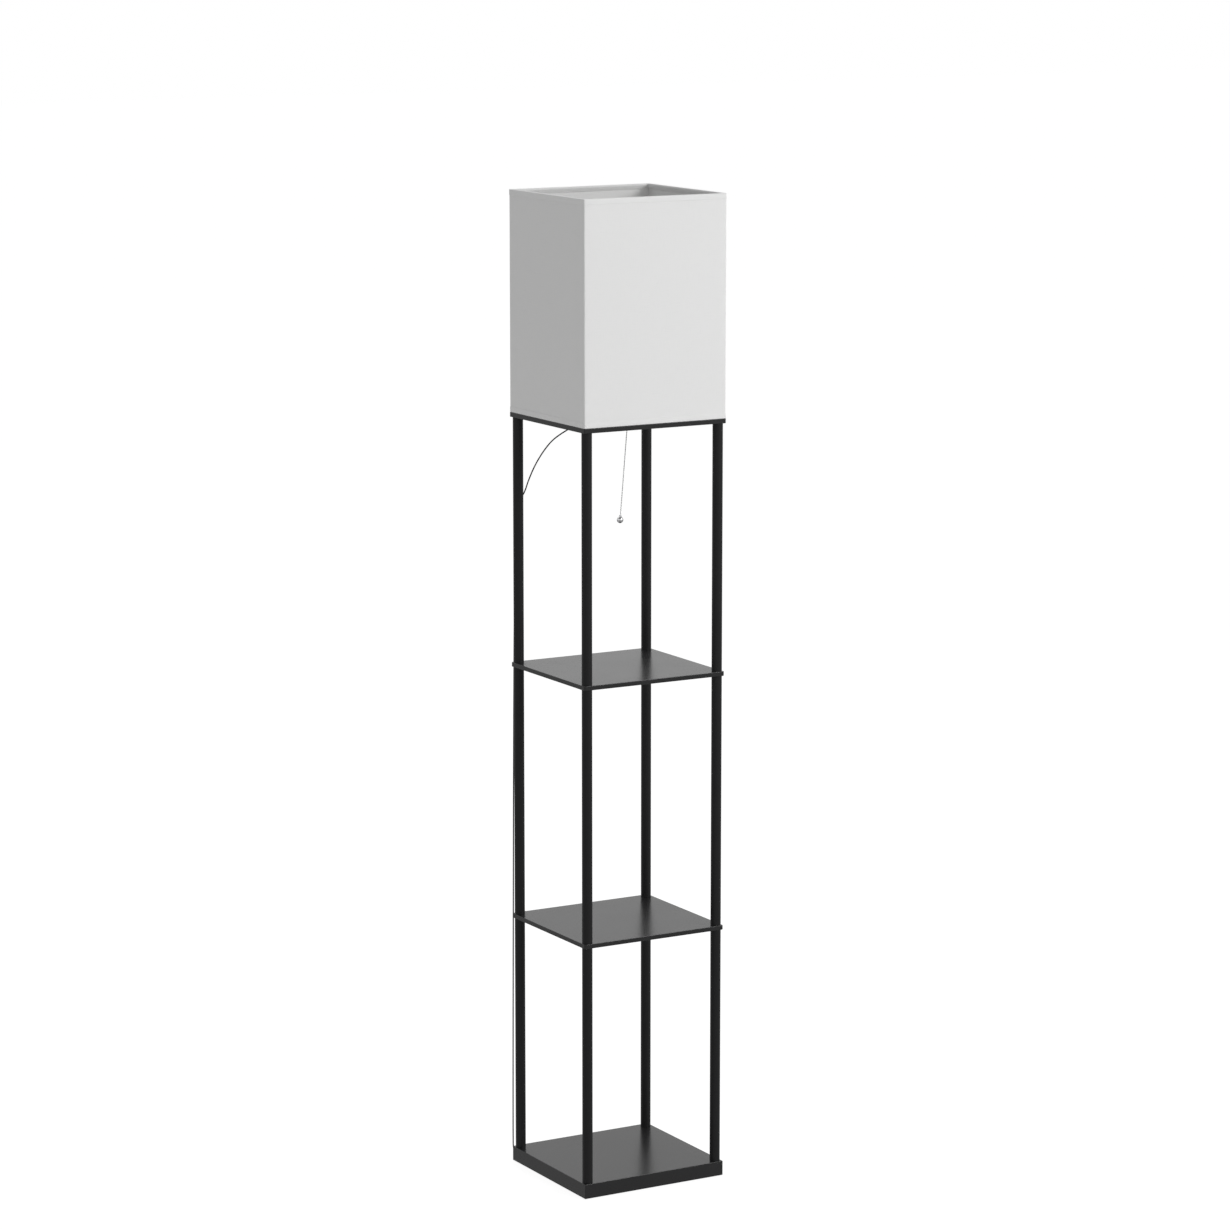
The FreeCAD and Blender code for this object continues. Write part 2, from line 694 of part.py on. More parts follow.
# The fitter: a flat ring, four sloping arms that dip into the hem, and the bottom wire, welded together
fitter_bore = barrel_radius + fitter_clearance
fitter_parts = [disc_ring(fitter_ring_radius, fitter_bore, fitter_ring_thickness, V(0, 0, ring_seat_top))]
for way, reach in ((V(1, 0, 0), footprint_x), (V(0, 1, 0), footprint_y)):
    for side in (-1, 1):
        outward = way * side
        inner = outward * (fitter_ring_radius - arm_overlap) + V(0, 0, ring_seat_top + arm_rise)
        foot = outward * (reach / 2 - wire_inset) + V(0, 0, bottom_wire_level)
        knee = V(foot.x, foot.y, plate_top + hem_height + wire_diameter)
        slope = unit(knee - inner)
        bend_start = knee - slope * arm_bend
        bend_end = knee - up * arm_bend
        arm_line = [
            Part.LineSegment(inner, bend_start).toShape(),
            arc_through_corner(bend_start, knee, bend_end),
            Part.LineSegment(bend_end, foot).toShape(),
        ]
        fitter_parts.append(tube_along(arm_line, arm_diameter / 2, inner, slope))
save(wire_frame(bottom_wire_level).multiFuse(fitter_parts), "shade_fitter")

# Pull switch inside the housing

pin_x = chain_x - lever_arm
pin_centre = V(pin_x, 0, plate_top + pin_height)
along_y = V(0, 1, 0)
hub_start = pin_centre - along_y * (lever_hub_width / 2)
lever = block(lever_arm + lever_overhang, lever_width, lever_thickness, pin_centre.z - lever_thickness / 2,
              0.0, V(pin_x + (lever_arm + lever_overhang) / 2, 0, 0))
lever = lever.fuse(cylinder(lever_hub_radius, lever_hub_width, hub_start, along_y))
slot_x = pin_x + lever_arm + lever_overhang - lever_slot_length / 2
lever = lever.cut(block(lever_slot_length, lever_slot_width, lever_thickness,
                        pin_centre.z - lever_thickness / 2, 0.0, V(slot_x, 0, 0)))
lever = lever.cut(cylinder(pin_radius + pin_clearance, lever_hub_width, hub_start, along_y)).removeSplitter()
lever.rotate(pin_centre, along_y, -lever_angle)
save(lever, "switch_lever")

rotor_start = pin_centre + along_y * rotor_offset
rotor = cylinder(rotor_radius, rotor_width, rotor_start, along_y)
for index in range(rotor_notches):
    angle = 2 * math.pi * (index + 0.5) / rotor_notches
    notch = rotor_start + V(rotor_radius * math.cos(angle), 0, rotor_radius * math.sin(angle))
    rotor = rotor.cut(cylinder(rotor_notch_radius, rotor_width, notch, along_y))
save(rotor.cut(cylinder(pin_radius + pin_clearance, rotor_width, rotor_start, along_y)), "switch_rotor")

near_cheek = -lever_hub_width / 2 - cheek_gap - cheek_thickness
far_cheek = rotor_offset + rotor_width + cheek_gap
bracket_length = far_cheek + cheek_thickness - near_cheek
bracket_middle = near_cheek + bracket_length / 2
bracket = block(cheek_width, bracket_length, cheek_thickness, holder_top - cheek_thickness,
                0.0, V(pin_x, bracket_middle, 0))
for start in (near_cheek, far_cheek):
    cheek_place = V(pin_x, start + cheek_thickness / 2, 0)
    bracket = bracket.fuse(block(cheek_width, cheek_thickness, cheek_drop, holder_top - cheek_drop, 0.0, cheek_place))
pin_start = V(pin_x, near_cheek, pin_centre.z)
bracket = bracket.cut(cylinder(pin_radius + pin_clearance, bracket_length, pin_start, along_y))
save(bracket.removeSplitter(), "switch_bracket")
save(cylinder(pin_radius, bracket_length, pin_start, along_y), "switch_pin")

strips = []
for side in (-1, 1):
    strip_x = pin_x + side * (rotor_radius + strip_gap + contact_thickness / 2)
    strip_place = V(strip_x, rotor_offset + rotor_width / 2, 0)
    strip_bottom = pin_centre.z - strip_width / 2
    strips.append(block(contact_thickness, strip_width, holder_top - strip_bottom, strip_bottom, 0.0, strip_place))
save(group(strips), "switch_contacts")

# The return spring stands on the housing's floor under the lever
spring_bottom = plate_top + holder_floor
spring_reach = spring_x - pin_x
tilt = math.radians(lever_angle)
lever_underside = pin_centre.z + spring_reach * math.tan(tilt) - lever_thickness / 2 / math.cos(tilt)
spring_top = lever_underside - spring_gap - (spring_radius + spring_wire / 2) * math.tan(tilt)
spring_rise = spring_top - spring_bottom - spring_wire


def spring_point(turn):
    angle = 2 * math.pi * turn
    level = spring_bottom + spring_wire / 2 + spring_rise * turn / spring_turns
    return V(spring_x + spring_radius * math.cos(angle), spring_radius * math.sin(angle), level)


def spring_way(turn):
    angle = 2 * math.pi * turn
    speed = 2 * math.pi * spring_radius
    return unit(V(-speed * math.sin(angle), speed * math.cos(angle), spring_rise / spring_turns))


spring_edges = []
for quarter in range(int(4 * spring_turns)):
    turn = quarter / 4
    spring_edges += biarc(spring_point(turn), spring_way(turn), spring_point(turn + 0.25), spring_way(turn + 0.25))
save(tube_along(spring_edges, spring_wire / 2, spring_point(0), spring_way(0)), "return_spring")


# Upper chain: from the bead over the lever down to the swing pivot, which is its lowest bead
lever_top = pin_centre.z + lever_arm * math.tan(tilt) + lever_thickness / 2 / math.cos(tilt)
end_bead_level = lever_top + lever_gap + end_bead_radius / math.cos(tilt)
pivot_level = plate_bottom - swing_pivot_drop
first_bead_level = end_bead_level - top_link_length
upper_count = int((first_bead_level - pivot_level) / bead_pitch)
upper_beads = [Part.makeSphere(end_bead_radius, V(chain_x, 0, end_bead_level))]
for index in range(upper_count + 1):
    upper_beads.append(Part.makeSphere(bead_radius, V(chain_x, 0, pivot_level + index * bead_pitch)))
upper_rod = cylinder(link_radius, end_bead_level - pivot_level, V(chain_x, 0, pivot_level))
save(upper_rod.multiFuse(upper_beads), "upper_chain")

# Lower chain: connector, beads, collar and ball, drawn plumb under the pivot and then slanted
pivot = V(chain_x, 0, pivot_level)
connector_top = pivot_level - bead_radius - joint_gap
connector_bottom = connector_top - connector_length
connector = cylinder(connector_radius, connector_length, V(chain_x, 0, connector_bottom))
ball_level = pivot_level - ball_drop
collar_bottom = ball_level + math.sqrt(ball_radius ** 2 - collar_radius ** 2)
collar = cylinder(collar_radius, collar_bottom + collar_height - ball_level, V(chain_x, 0, ball_level))
lower_top = connector_bottom
lower_bottom = collar_bottom + collar_height
lower_count = int((lower_top - lower_bottom - 2 * bead_radius) / bead_pitch)
lower_step = (lower_top - lower_bottom - 2 * bead_radius) / lower_count
lower_beads = []
for index in range(lower_count + 1):
    lower_beads.append(Part.makeSphere(bead_radius, V(chain_x, 0, lower_bottom + bead_radius + index * lower_step)))
lower_rod = cylinder(link_radius, lower_top - lower_bottom, V(chain_x, 0, lower_bottom))
ball = Part.makeSphere(ball_radius, V(chain_x, 0, ball_level))
hanging = {
    "chain_connector": connector,
    "lower_chain": lower_rod.multiFuse(lower_beads),
    "pull_ball": ball.fuse(collar).removeSplitter(),
}
for name, shape in hanging.items():
    shape.rotate(pivot, along_y, chain_slant)
    save(shape, name)

# Power cord: from the strain relief over to the back left post, behind it, down to the floor and into a coil

relief_tip = cup_face + outlet_way * relief_length
cord_floor = cord_radius + floor_gap
coil_pitch = cord_diameter + cord_gap
coil_outer_radius = coil_inner_radius + coil_turns_per_layer * coil_pitch
coil_centre = V(-(footprint_x / 2 - coil_inset), footprint_y / 2 + coil_setout, 0)
coil_entry = coil_centre + V(0, -coil_outer_radius, cord_floor)
coil_lead = V(cord_diameter, 0, 0)
cord_post = post_places["back_left"]
bends_under_plate = [cord_post + V(x, y, plate_bottom - drop) for x, y, drop in cord_bends]
bends_at_foot = [cord_post + V(x, y, base_top + rise) for x, y, rise in cord_foot_bends]
cord_route = [relief_tip, relief_tip + outlet_way * cord_lead] + bends_under_plate + bends_at_foot + [
    cord_post + V(floor_bend_x, floor_bend_y, cord_floor),
    coil_entry - V(coil_lead_in, 0, 0),
    coil_entry - coil_lead,
]


def rounded_route(points):
    """Straight runs joined by tangent arcs, with the arcs' radii."""
    edges = []
    radii = []
    here = points[0]
    for before, corner, after in zip(points, points[1:], points[2:]):
        inward = unit(corner - before)
        outward = unit(after - corner)
        half_turn = inward.getAngle(outward) / 2
        cut_back = cord_bend_share * min((corner - before).Length, (after - corner).Length)
        radii.append(cut_back / math.tan(half_turn))
        arc_start = corner - inward * cut_back
        arc_end = corner + outward * cut_back
        edges.append(Part.LineSegment(here, arc_start).toShape())
        edges.append(arc_through_corner(arc_start, corner, arc_end))
        here = arc_end
    edges.append(Part.LineSegment(here, points[-1]).toShape())
    return edges, radii


cord_edges, cord_radii = rounded_route(cord_route)
cord_length = sum(edge.Length for edge in cord_edges)
cord = tube_along(cord_edges, cord_radius, cord_route[0], unit(cord_route[1] - cord_route[0]))
save(cord, "power_cord")
print("cord radii", [round(radius, 1) for radius in cord_radii])
cord_share = cord.Volume / (math.pi * cord_radius ** 2 * cord_length)
print("cord length", round(cord_length, 1), "volume over section times length", round(cord_share, 4))

# Coil: each layer spirals in or out, and the cord climbs to the next about the turn where it reverses
coil_turns = coil_turns_per_layer * coil_layers
plug_level = plug_height / 2 + floor_gap


def coil_point(turn):
    """Point on the cord's line after so many turns."""
    inward = 1 - abs((turn / coil_turns_per_layer) % 2 - 1)
    radius = coil_outer_radius + (coil_inner_radius - coil_outer_radius) * inward
    height = cord_floor
    for layer in range(1, coil_layers):
        share = (turn - layer * coil_turns_per_layer) / coil_climb + 0.5
        share = min(max(share, 0.0), 1.0)
        height += coil_pitch * share * share * (3 - 2 * share)
    angle = 2 * math.pi * turn - math.pi / 2
    return V(coil_centre.x + radius * math.cos(angle), coil_centre.y + radius * math.sin(angle), height)


def coil_way(turn):
    """Direction of the cord there: square to its straight ends at both ends of the coil."""
    if turn in (0, coil_turns):
        return V(1, 0, 0)
    small = 1e-4
    return unit(coil_point(turn + small) - coil_point(turn - small))


coil_edges = [Part.LineSegment(coil_entry - coil_lead, coil_entry).toShape()]
for quarter in range(int(4 * coil_turns)):
    turn = quarter / 4
    coil_edges += biarc(coil_point(turn), coil_way(turn), coil_point(turn + 0.25), coil_way(turn + 0.25))
coil_exit = coil_point(coil_turns)
tail_end = V(coil_exit.x + tail_run, coil_exit.y + tail_shift, plug_level)
coil_edges += biarc(coil_exit, V(1, 0, 0), tail_end, V(1, 0, 0))
plug_start = tail_end + coil_lead
coil_edges.append(Part.LineSegment(tail_end, plug_start).toShape())
coil_length = sum(edge.Length for edge in coil_edges)
coil = tube_along(coil_edges, cord_radius, coil_entry - coil_lead, V(1, 0, 0))
save(coil, "cord_coil")
print("coil length", round(coil_length, 1), "whole cord", round(coil_length + cord_length, 1))
coil_share = coil.Volume / (math.pi * cord_radius ** 2 * coil_length)
print("coil volume over section times length", round(coil_share, 4), "valid", coil.isValid(), cord.isValid())


def least_gap(point_at, turns, radius):
    """Smallest space between parts of a wound tube that are at least half a turn apart."""
    steps = 48
    points = [point_at(index / steps) for index in range(int(turns * steps) + 1)]
    least = 1e9
    for first in range(len(points)):
        for second in range(first + steps // 2, len(points)):
            least = min(least, (points[first] - points[second]).Length)
    return least - 2 * radius


print("coil least gap", round(least_gap(coil_point, coil_turns, cord_radius), 2))
print("spring least gap", round(least_gap(spring_point, spring_turns, spring_wire / 2), 2))

# Clip that holds the cord behind the back left post: a saddle stuck to the post's back, with an eye for the cord

clip_place = cord_post + V(0, 0, plate_bottom - clip_drop - clip_height)
clip_bore = post_diameter / 2 + clip_clearance
eye_bore = cord_radius + clip_eye_clearance
long_run = bends_at_foot[0] - bends_under_plate[-1]
clip_share = (clip_place.z + clip_height / 2 - bends_under_plate[-1].z) / long_run.z
eye_centre = bends_under_plate[-1] + long_run * clip_share
eye_place = V(eye_centre.x, eye_centre.y, clip_place.z)
saddle_corner = clip_place + V(-clip_near_side, clip_front, 0)
saddle_box = Part.makeBox(clip_near_side + clip_far_side, clip_bore + clip_wall, clip_height, saddle_corner)
clip = cylinder(clip_bore + clip_wall, clip_height, clip_place).common(saddle_box)
eye_radius = eye_bore + clip_wall
clip = clip.fuse(cylinder(eye_radius, clip_height, eye_place))
web_length = eye_place.y - clip_place.y - clip_bore
web_middle = V(eye_place.x, eye_place.y - web_length / 2, 0)
clip = clip.fuse(block(clip_web, web_length, clip_height, clip_place.z, 0.0, web_middle))
clip = clip.cut(cylinder(clip_bore, clip_height, clip_place))
clip = clip.cut(cylinder(eye_bore, clip_height, eye_place))
mouth_place = V(clip_mouth_reach + eye_radius, 0, 0)
clip_mouth = block(2 * eye_radius, 2 * eye_radius, clip_height, clip_place.z, 0.0, mouth_place)
clip_mouth.rotate(V(0, 0, 0), up, clip_mouth_angle)
clip_mouth.translate(V(eye_place.x, eye_place.y, 0))
save(clip.cut(clip_mouth).removeSplitter(), "cord_clip")

# Plug, lying on the floor beside the coil with its blades along +X

neck = Part.makeCone(plug_neck_tip_radius, plug_neck_radius, plug_neck_length, plug_start, V(1, 0, 0))
body_middle = V(plug_start.x + plug_neck_length + plug_length / 2, plug_start.y, 0)
plug_body = block(plug_length, plug_width, plug_height, floor_gap, plug_corner_radius, body_middle)
save(plug_body.fuse(neck).removeSplitter(), "plug_body")
blades = []
for side in (-1, 1):
    root = body_middle + V(plug_length / 2, side * blade_spacing / 2, 0)
    middle = root + V(blade_length / 2, 0, 0)
    blade = block(blade_length, blade_thickness, blade_width, plug_level - blade_width / 2, 0.0, middle)
    hole_place = root + V(blade_length - blade_hole_inset, -blade_thickness, plug_level)
    blades.append(blade.cut(cylinder(blade_hole_radius, 2 * blade_thickness, hole_place, along_y)))
save(group(blades), "plug_blades")
print("total height", round(shade_top, 2), "plate", round(plate_bottom, 2), round(plate_top, 2))
print("pivot", round(pivot_level, 2), "ball", round(ball_level, 2), "bulb top", round(globe_centre + globe_radius, 2))
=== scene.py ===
import json
import math

import bmesh
import bpy
from mathutils import Matrix, Vector, noise

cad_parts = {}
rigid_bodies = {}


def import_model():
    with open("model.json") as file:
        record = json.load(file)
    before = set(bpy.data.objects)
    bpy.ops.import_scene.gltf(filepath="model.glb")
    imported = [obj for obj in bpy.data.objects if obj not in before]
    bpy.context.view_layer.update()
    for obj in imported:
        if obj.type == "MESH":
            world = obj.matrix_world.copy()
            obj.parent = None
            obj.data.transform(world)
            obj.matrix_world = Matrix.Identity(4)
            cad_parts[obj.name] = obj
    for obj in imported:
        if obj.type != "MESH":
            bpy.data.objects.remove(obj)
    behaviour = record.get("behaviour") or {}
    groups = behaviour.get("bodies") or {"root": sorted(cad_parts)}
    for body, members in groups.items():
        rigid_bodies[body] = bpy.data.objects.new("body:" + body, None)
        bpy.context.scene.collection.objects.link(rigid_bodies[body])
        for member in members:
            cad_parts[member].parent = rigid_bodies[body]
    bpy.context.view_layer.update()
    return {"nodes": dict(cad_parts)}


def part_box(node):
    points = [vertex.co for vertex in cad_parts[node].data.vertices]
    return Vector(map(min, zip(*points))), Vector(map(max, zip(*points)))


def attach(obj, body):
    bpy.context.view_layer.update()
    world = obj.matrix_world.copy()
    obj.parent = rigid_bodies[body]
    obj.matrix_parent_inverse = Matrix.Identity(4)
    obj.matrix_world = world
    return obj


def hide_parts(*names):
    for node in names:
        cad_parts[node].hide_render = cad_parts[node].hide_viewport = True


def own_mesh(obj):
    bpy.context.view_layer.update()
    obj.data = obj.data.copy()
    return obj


for leftover in list(bpy.data.objects):
    bpy.data.objects.remove(leftover)

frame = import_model()
nodes = frame["nodes"]
mm = 0.001

# Levels and plan sizes of the lamp, as the frame has them
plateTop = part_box("top_plate")[1].z
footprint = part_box("shade_hems")[1]
shadeTop = footprint.z


# Camera, at the photograph's place

cameraView = {
    "place": (-3.3228, -5.7727, 2.1050),
    "tilt": 79.935,
    "turn": -29.894,
    "lens": 123.4,
    "sensorWidth": 36.0,
}


def addCamera():
    data = bpy.data.cameras.new("photoCamera")
    data.lens = cameraView["lens"]
    data.sensor_width = cameraView["sensorWidth"]
    camera = bpy.data.objects.new("photoCamera", data)
    camera.location = cameraView["place"]
    camera.rotation_euler = (math.radians(cameraView["tilt"]), 0, math.radians(cameraView["turn"]))
    bpy.context.scene.collection.objects.link(camera)
    bpy.context.scene.camera = camera


addCamera()
print("camera placed")


# Node helpers, for materials, the sky and Geometry Nodes


def addNode(tree, kind, inputs=None, **settings):
    # inputs: name or index of each -> a plain value, or the output socket that feeds it
    node = tree.nodes.new(kind)
    for key, value in settings.items():
        setattr(node, key, value)
    for key, value in (inputs or {}).items():
        if isinstance(value, bpy.types.NodeSocket):
            tree.links.new(value, node.inputs[key])
        else:
            node.inputs[key].default_value = value
    return node


def mathNode(tree, operation, first, second=0.0):
    return addNode(tree, "ShaderNodeMath", {0: first, 1: second}, operation=operation).outputs[0]


def mapRange(tree, value, low, high, start=0.0, end=1.0):
    # The value's span from start to end becomes low to high, and stops there
    inputs = {"Value": value, "From Min": start, "From Max": end, "To Min": low, "To Max": high}
    return addNode(tree, "ShaderNodeMapRange", inputs).outputs["Result"]


def mixColours(tree, factor, first, second):
    return addNode(tree, "ShaderNodeMix", {0: factor, 6: first, 7: second}, data_type="RGBA").outputs[2]


def noiseOn(tree, place, scale, detail):
    inputs = {"Vector": place, "Scale": scale, "Detail": detail}
    return addNode(tree, "ShaderNodeTexNoise", inputs).outputs["Fac"]


# Material helpers

cloudDetail = 3.0
grainDetail = 2.0


def newMaterial(name, colour, look):
    material = bpy.data.materials.new(name)
    material.use_nodes = True
    material.diffuse_color = (*colour, 1)
    tree = material.node_tree
    shader = tree.nodes["Principled BSDF"]
    shader.inputs["Base Color"].default_value = (*colour, 1)
    shader.inputs["Roughness"].default_value = look["roughness"]
    shader.inputs["Metallic"].default_value = look.get("metallic", 0.0)
    for socket, value in look.get("sockets", {}).items():
        shader.inputs[socket].default_value = value
    return material, tree, shader


def shade(colour, share):
    return (*[min(channel * share, 1.0) for channel in colour], 1)


def tintColour(tree, factor, colour, low, high):
    # low and high are shares of the colour's own brightness
    return mixColours(tree, factor, shade(colour, low), shade(colour, high))


def addBump(tree, shader, height, strength, depth):
    bump = addNode(tree, "ShaderNodeBump", {"Height": height, "Strength": strength, "Distance": depth})
    tree.links.new(bump.outputs["Normal"], shader.inputs["Normal"])


def grainedMaterial(look):
    # Fine grain in the bump, a broader cloud in colour and gloss
    material, tree, shader = newMaterial(look["name"], look["colour"], look)
    place = addNode(tree, "ShaderNodeTexCoord").outputs["Object"]
    cloud = noiseOn(tree, place, 1 / look["cloudSize"], cloudDetail)
    spread = look["tintSpread"]
    tint = tintColour(tree, cloud, look["colour"], 1 - spread, 1 + spread)
    tree.links.new(tint, shader.inputs["Base Color"])
    low = look["roughness"] - look["glossSpread"]
    high = look["roughness"] + look["glossSpread"]
    tree.links.new(mapRange(tree, cloud, low, high), shader.inputs["Roughness"])
    grain = noiseOn(tree, place, 1 / look["grainSize"], grainDetail)
    addBump(tree, shader, grain, look["bump"], look["grainDepth"])
    return material


# Finishes, one dictionary for each material slot of the record

finishLooks = {
    "black_board": {
        "name": "boardLacquer",
        "colour": (0.012, 0.012, 0.0125),
        "roughness": 0.25,
        "cloudSize": 0.05,
        "tintSpread": 0.12,
        "glossSpread": 0.02,
        "grainSize": 0.0008,
        "bump": 0.2,
        "grainDepth": 0.000004,
    },
    "black_tube": {
        "name": "tubePowderCoat",
        "colour": (0.009, 0.009, 0.0095),
        "roughness": 0.4,
        "cloudSize": 0.03,
        "tintSpread": 0.1,
        "glossSpread": 0.04,
        "grainSize": 0.0007,
        "bump": 0.5,
        "grainDepth": 0.00002,
        "sockets": {"Specular IOR Level": 0.26},
    },
    "pad_foam": {
        "name": "padFoam",
        "colour": (0.045, 0.045, 0.045),
        "roughness": 0.9,
        "cloudSize": 0.004,
        "tintSpread": 0.25,
        "glossSpread": 0.05,
        "grainSize": 0.0004,
        "bump": 0.9,
        "grainDepth": 0.00012,
    },
    "zinc_steel": {
        "name": "zincPlate",
        "colour": (0.56, 0.565, 0.56),
        "roughness": 0.34,
        "metallic": 1.0,
        "cloudSize": 0.004,
        "tintSpread": 0.07,
        "glossSpread": 0.06,
        "grainSize": 0.0003,
        "bump": 0.3,
        "grainDepth": 0.00001,
    },
    "nickel": {
        "name": "nickelPlate",
        "colour": (0.69, 0.67, 0.64),
        "roughness": 0.2,
        "metallic": 1.0,
        "cloudSize": 0.006,
        "tintSpread": 0.04,
        "glossSpread": 0.04,
        "grainSize": 0.0005,
        "bump": 0.2,
        "grainDepth": 0.000005,
    },
    "black_plastic": {
        "name": "mouldedBlack",
        "colour": (0.013, 0.013, 0.013),
        "roughness": 0.48,
        "cloudSize": 0.01,
        "tintSpread": 0.1,
        "glossSpread": 0.05,
        "grainSize": 0.0004,
        "bump": 0.6,
        "grainDepth": 0.00003,
    },
    "black_rubber": {
        "name": "satinRubber",
        "colour": (0.014, 0.014, 0.014),
        "roughness": 0.55,
        "cloudSize": 0.008,
        "tintSpread": 0.15,
        "glossSpread": 0.06,
        "grainSize": 0.0003,
        "bump": 0.5,
        "grainDepth": 0.00002,
    },
    "holder_plastic": {
        "name": "holderThermoset",
        "colour": (0.02, 0.019, 0.018),
        "roughness": 0.22,
        "cloudSize": 0.012,
        "tintSpread": 0.15,
        "glossSpread": 0.04,
        "grainSize": 0.0012,
        "bump": 0.25,
        "grainDepth": 0.00001,
    },
    "brass": {
        "name": "plainBrass",
        "colour": (0.72, 0.53, 0.26),
        "roughness": 0.28,
        "metallic": 1.0,
        "cloudSize": 0.005,
        "tintSpread": 0.08,
        "glossSpread": 0.06,
        "grainSize": 0.0004,
        "bump": 0.25,
        "grainDepth": 0.00001,
    },
    "white_wire": {
        "name": "whiteCoatedWire",
        "colour": (0.8, 0.8, 0.79),
        "roughness": 0.36,
        "cloudSize": 0.01,
        "tintSpread": 0.03,
        "glossSpread": 0.05,
        "grainSize": 0.0008,
        "bump": 0.3,
        "grainDepth": 0.00002,
    },
    "chain_metal": {
        "name": "chainNickel",
        "colour": (0.62, 0.62, 0.62),
        "roughness": 0.16,
        "metallic": 1.0,
        "cloudSize": 0.003,
        "tintSpread": 0.05,
        "glossSpread": 0.04,
        "grainSize": 0.0003,
        "bump": 0.15,
        "grainDepth": 0.000005,
    },
    "polished_ball": {
        "name": "ballPolish",
        "colour": (0.72, 0.72, 0.73),
        "roughness": 0.16,
        "metallic": 1.0,
        "cloudSize": 0.006,
        "tintSpread": 0.03,
        "glossSpread": 0.02,
        "grainSize": 0.0005,
        "bump": 0.08,
        "grainDepth": 0.000003,
    },
    "cord_black": {
        "name": "cordSleeve",
        "colour": (0.014, 0.014, 0.014),
        "roughness": 0.36,
        "cloudSize": 0.006,
        "tintSpread": 0.1,
        "glossSpread": 0.05,
        "grainSize": 0.0005,
        "bump": 0.3,
        "grainDepth": 0.00002,
    },
    "filament": {
        "name": "phosphorStrip",
        "colour": (0.82, 0.62, 0.14),
        "roughness": 0.6,
        "cloudSize": 0.002,
        "tintSpread": 0.12,
        "glossSpread": 0.05,
        "grainSize": 0.0003,
        "bump": 0.4,
        "grainDepth": 0.00003,
    },
    "frosted_glass": {
        "name": "frostedGlobe",
        "colour": (0.93, 0.93, 0.92),
        "roughness": 0.32,
        "cloudSize": 0.02,
        "tintSpread": 0.02,
        "glossSpread": 0.04,
        "grainSize": 0.0006,
        "bump": 0.2,
        "grainDepth": 0.00001,
        "sockets": {"Transmission Weight": 0.15, "IOR": 1.5},
    },
    "clear_glass": {
        "name": "stemGlass",
        "colour": (0.94, 0.95, 0.94),
        "roughness": 0.04,
        "cloudSize": 0.01,
        "tintSpread": 0.02,
        "glossSpread": 0.02,
        "grainSize": 0.001,
        "bump": 0.1,
        "grainDepth": 0.00001,
        "sockets": {"Transmission Weight": 0.95, "IOR": 1.5},
    },
}

finishes = {slot: grainedMaterial(look) for slot, look in finishLooks.items()}

# Plain weave on the piece's own UV map, in metres: U round the shade, V up the skin or over the hem
fabricLook = {
    "colour": (0.832, 0.832, 0.829),
    "hemColour": (0.836, 0.836, 0.833),
    # painted shade: the skin's inner side gets a darker colour, standing in for the dimmer light inside the
    # shade
    "paintedShadeInsideColour": (0.785, 0.785, 0.78),
    "tintLow": 0.965,
    "tintHigh": 1.015,
    "tintStart": -0.4,           # share of the high tint at no slub height; it is 1 at a height of 1
    "threadPitch": 0.00062,
    "weaveDepth": 0.00009,
    "bump": 0.6,
    "slubLength": 0.02,
    "slubWidth": 0.0012,
    "slubDetail": 2.0,
    "roughness": 0.88,
    "sockets": {"Sheen Weight": 0.12, "Sheen Roughness": 0.5, "Specular IOR Level": 0.25},
}


def fabricMaterial(name, colour, paintedShadeInside=None):
    # Painted shade: a second, darker colour shows on the skin's inner side, where the mesh's attribute for
    # it is 1
    look = fabricLook
    material, tree, shader = newMaterial(name, colour, look)
    place = addNode(tree, "ShaderNodeUVMap", uv_map="cloth").outputs["UV"]
    split = addNode(tree, "ShaderNodeSeparateXYZ", {"Vector": place}).outputs
    turns = 2 * math.pi / look["threadPitch"]
    across = mathNode(tree, "SINE", mathNode(tree, "MULTIPLY", split["X"], turns))
    along = mathNode(tree, "SINE", mathNode(tree, "MULTIPLY", split["Y"], turns))
    weave = mapRange(tree, mathNode(tree, "MULTIPLY", across, along), 0.0, 1.0)
    length = 1 / look["slubLength"]
    width = 1 / look["slubWidth"]
    slubs = []
    for scale in ((length, width, 1), (width, length, 1)):
        mapping = addNode(tree, "ShaderNodeMapping", {"Vector": place, "Scale": scale})
        slubs.append(noiseOn(tree, mapping.outputs["Vector"], 1.0, look["slubDetail"]))
    slubHeight = mathNode(tree, "ADD", slubs[0], slubs[1])
    height = mathNode(tree, "ADD", weave, slubHeight)
    addBump(tree, shader, height, look["bump"], look["weaveDepth"])
    factor = mapRange(tree, slubHeight, look["tintStart"], 1.0)
    tint = tintColour(tree, factor, colour, look["tintLow"], look["tintHigh"])
    if paintedShadeInside:
        inside = addNode(tree, "ShaderNodeAttribute", attribute_name="paintedShadeInside").outputs["Fac"]
        paintedShadeInsideTint = tintColour(tree, factor, paintedShadeInside, look["tintLow"], look["tintHigh"])
        tint = mixColours(tree, inside, tint, paintedShadeInsideTint)
    tree.links.new(tint, shader.inputs["Base Color"])
    return material


skinCloth = fabricMaterial("shadeCloth", fabricLook["colour"], fabricLook["paintedShadeInsideColour"])
hemCloth = fabricMaterial("shadeHemCloth", fabricLook["hemColour"])

# CAD nodes keep their shape and take these finishes
for node in nodes.values():
    slot = node.data.materials[0].name.split(".")[0]
    if slot in finishes:
        node.data.materials[0] = finishes[slot]
print("finishes made")


# Mesh helpers

mergeDistance = 1e-7
axisRadius = 1e-9                # a lathe's point nearer to the axis than this is on it
sharpAngle = 35.0
clothSharpAngle = 40.0


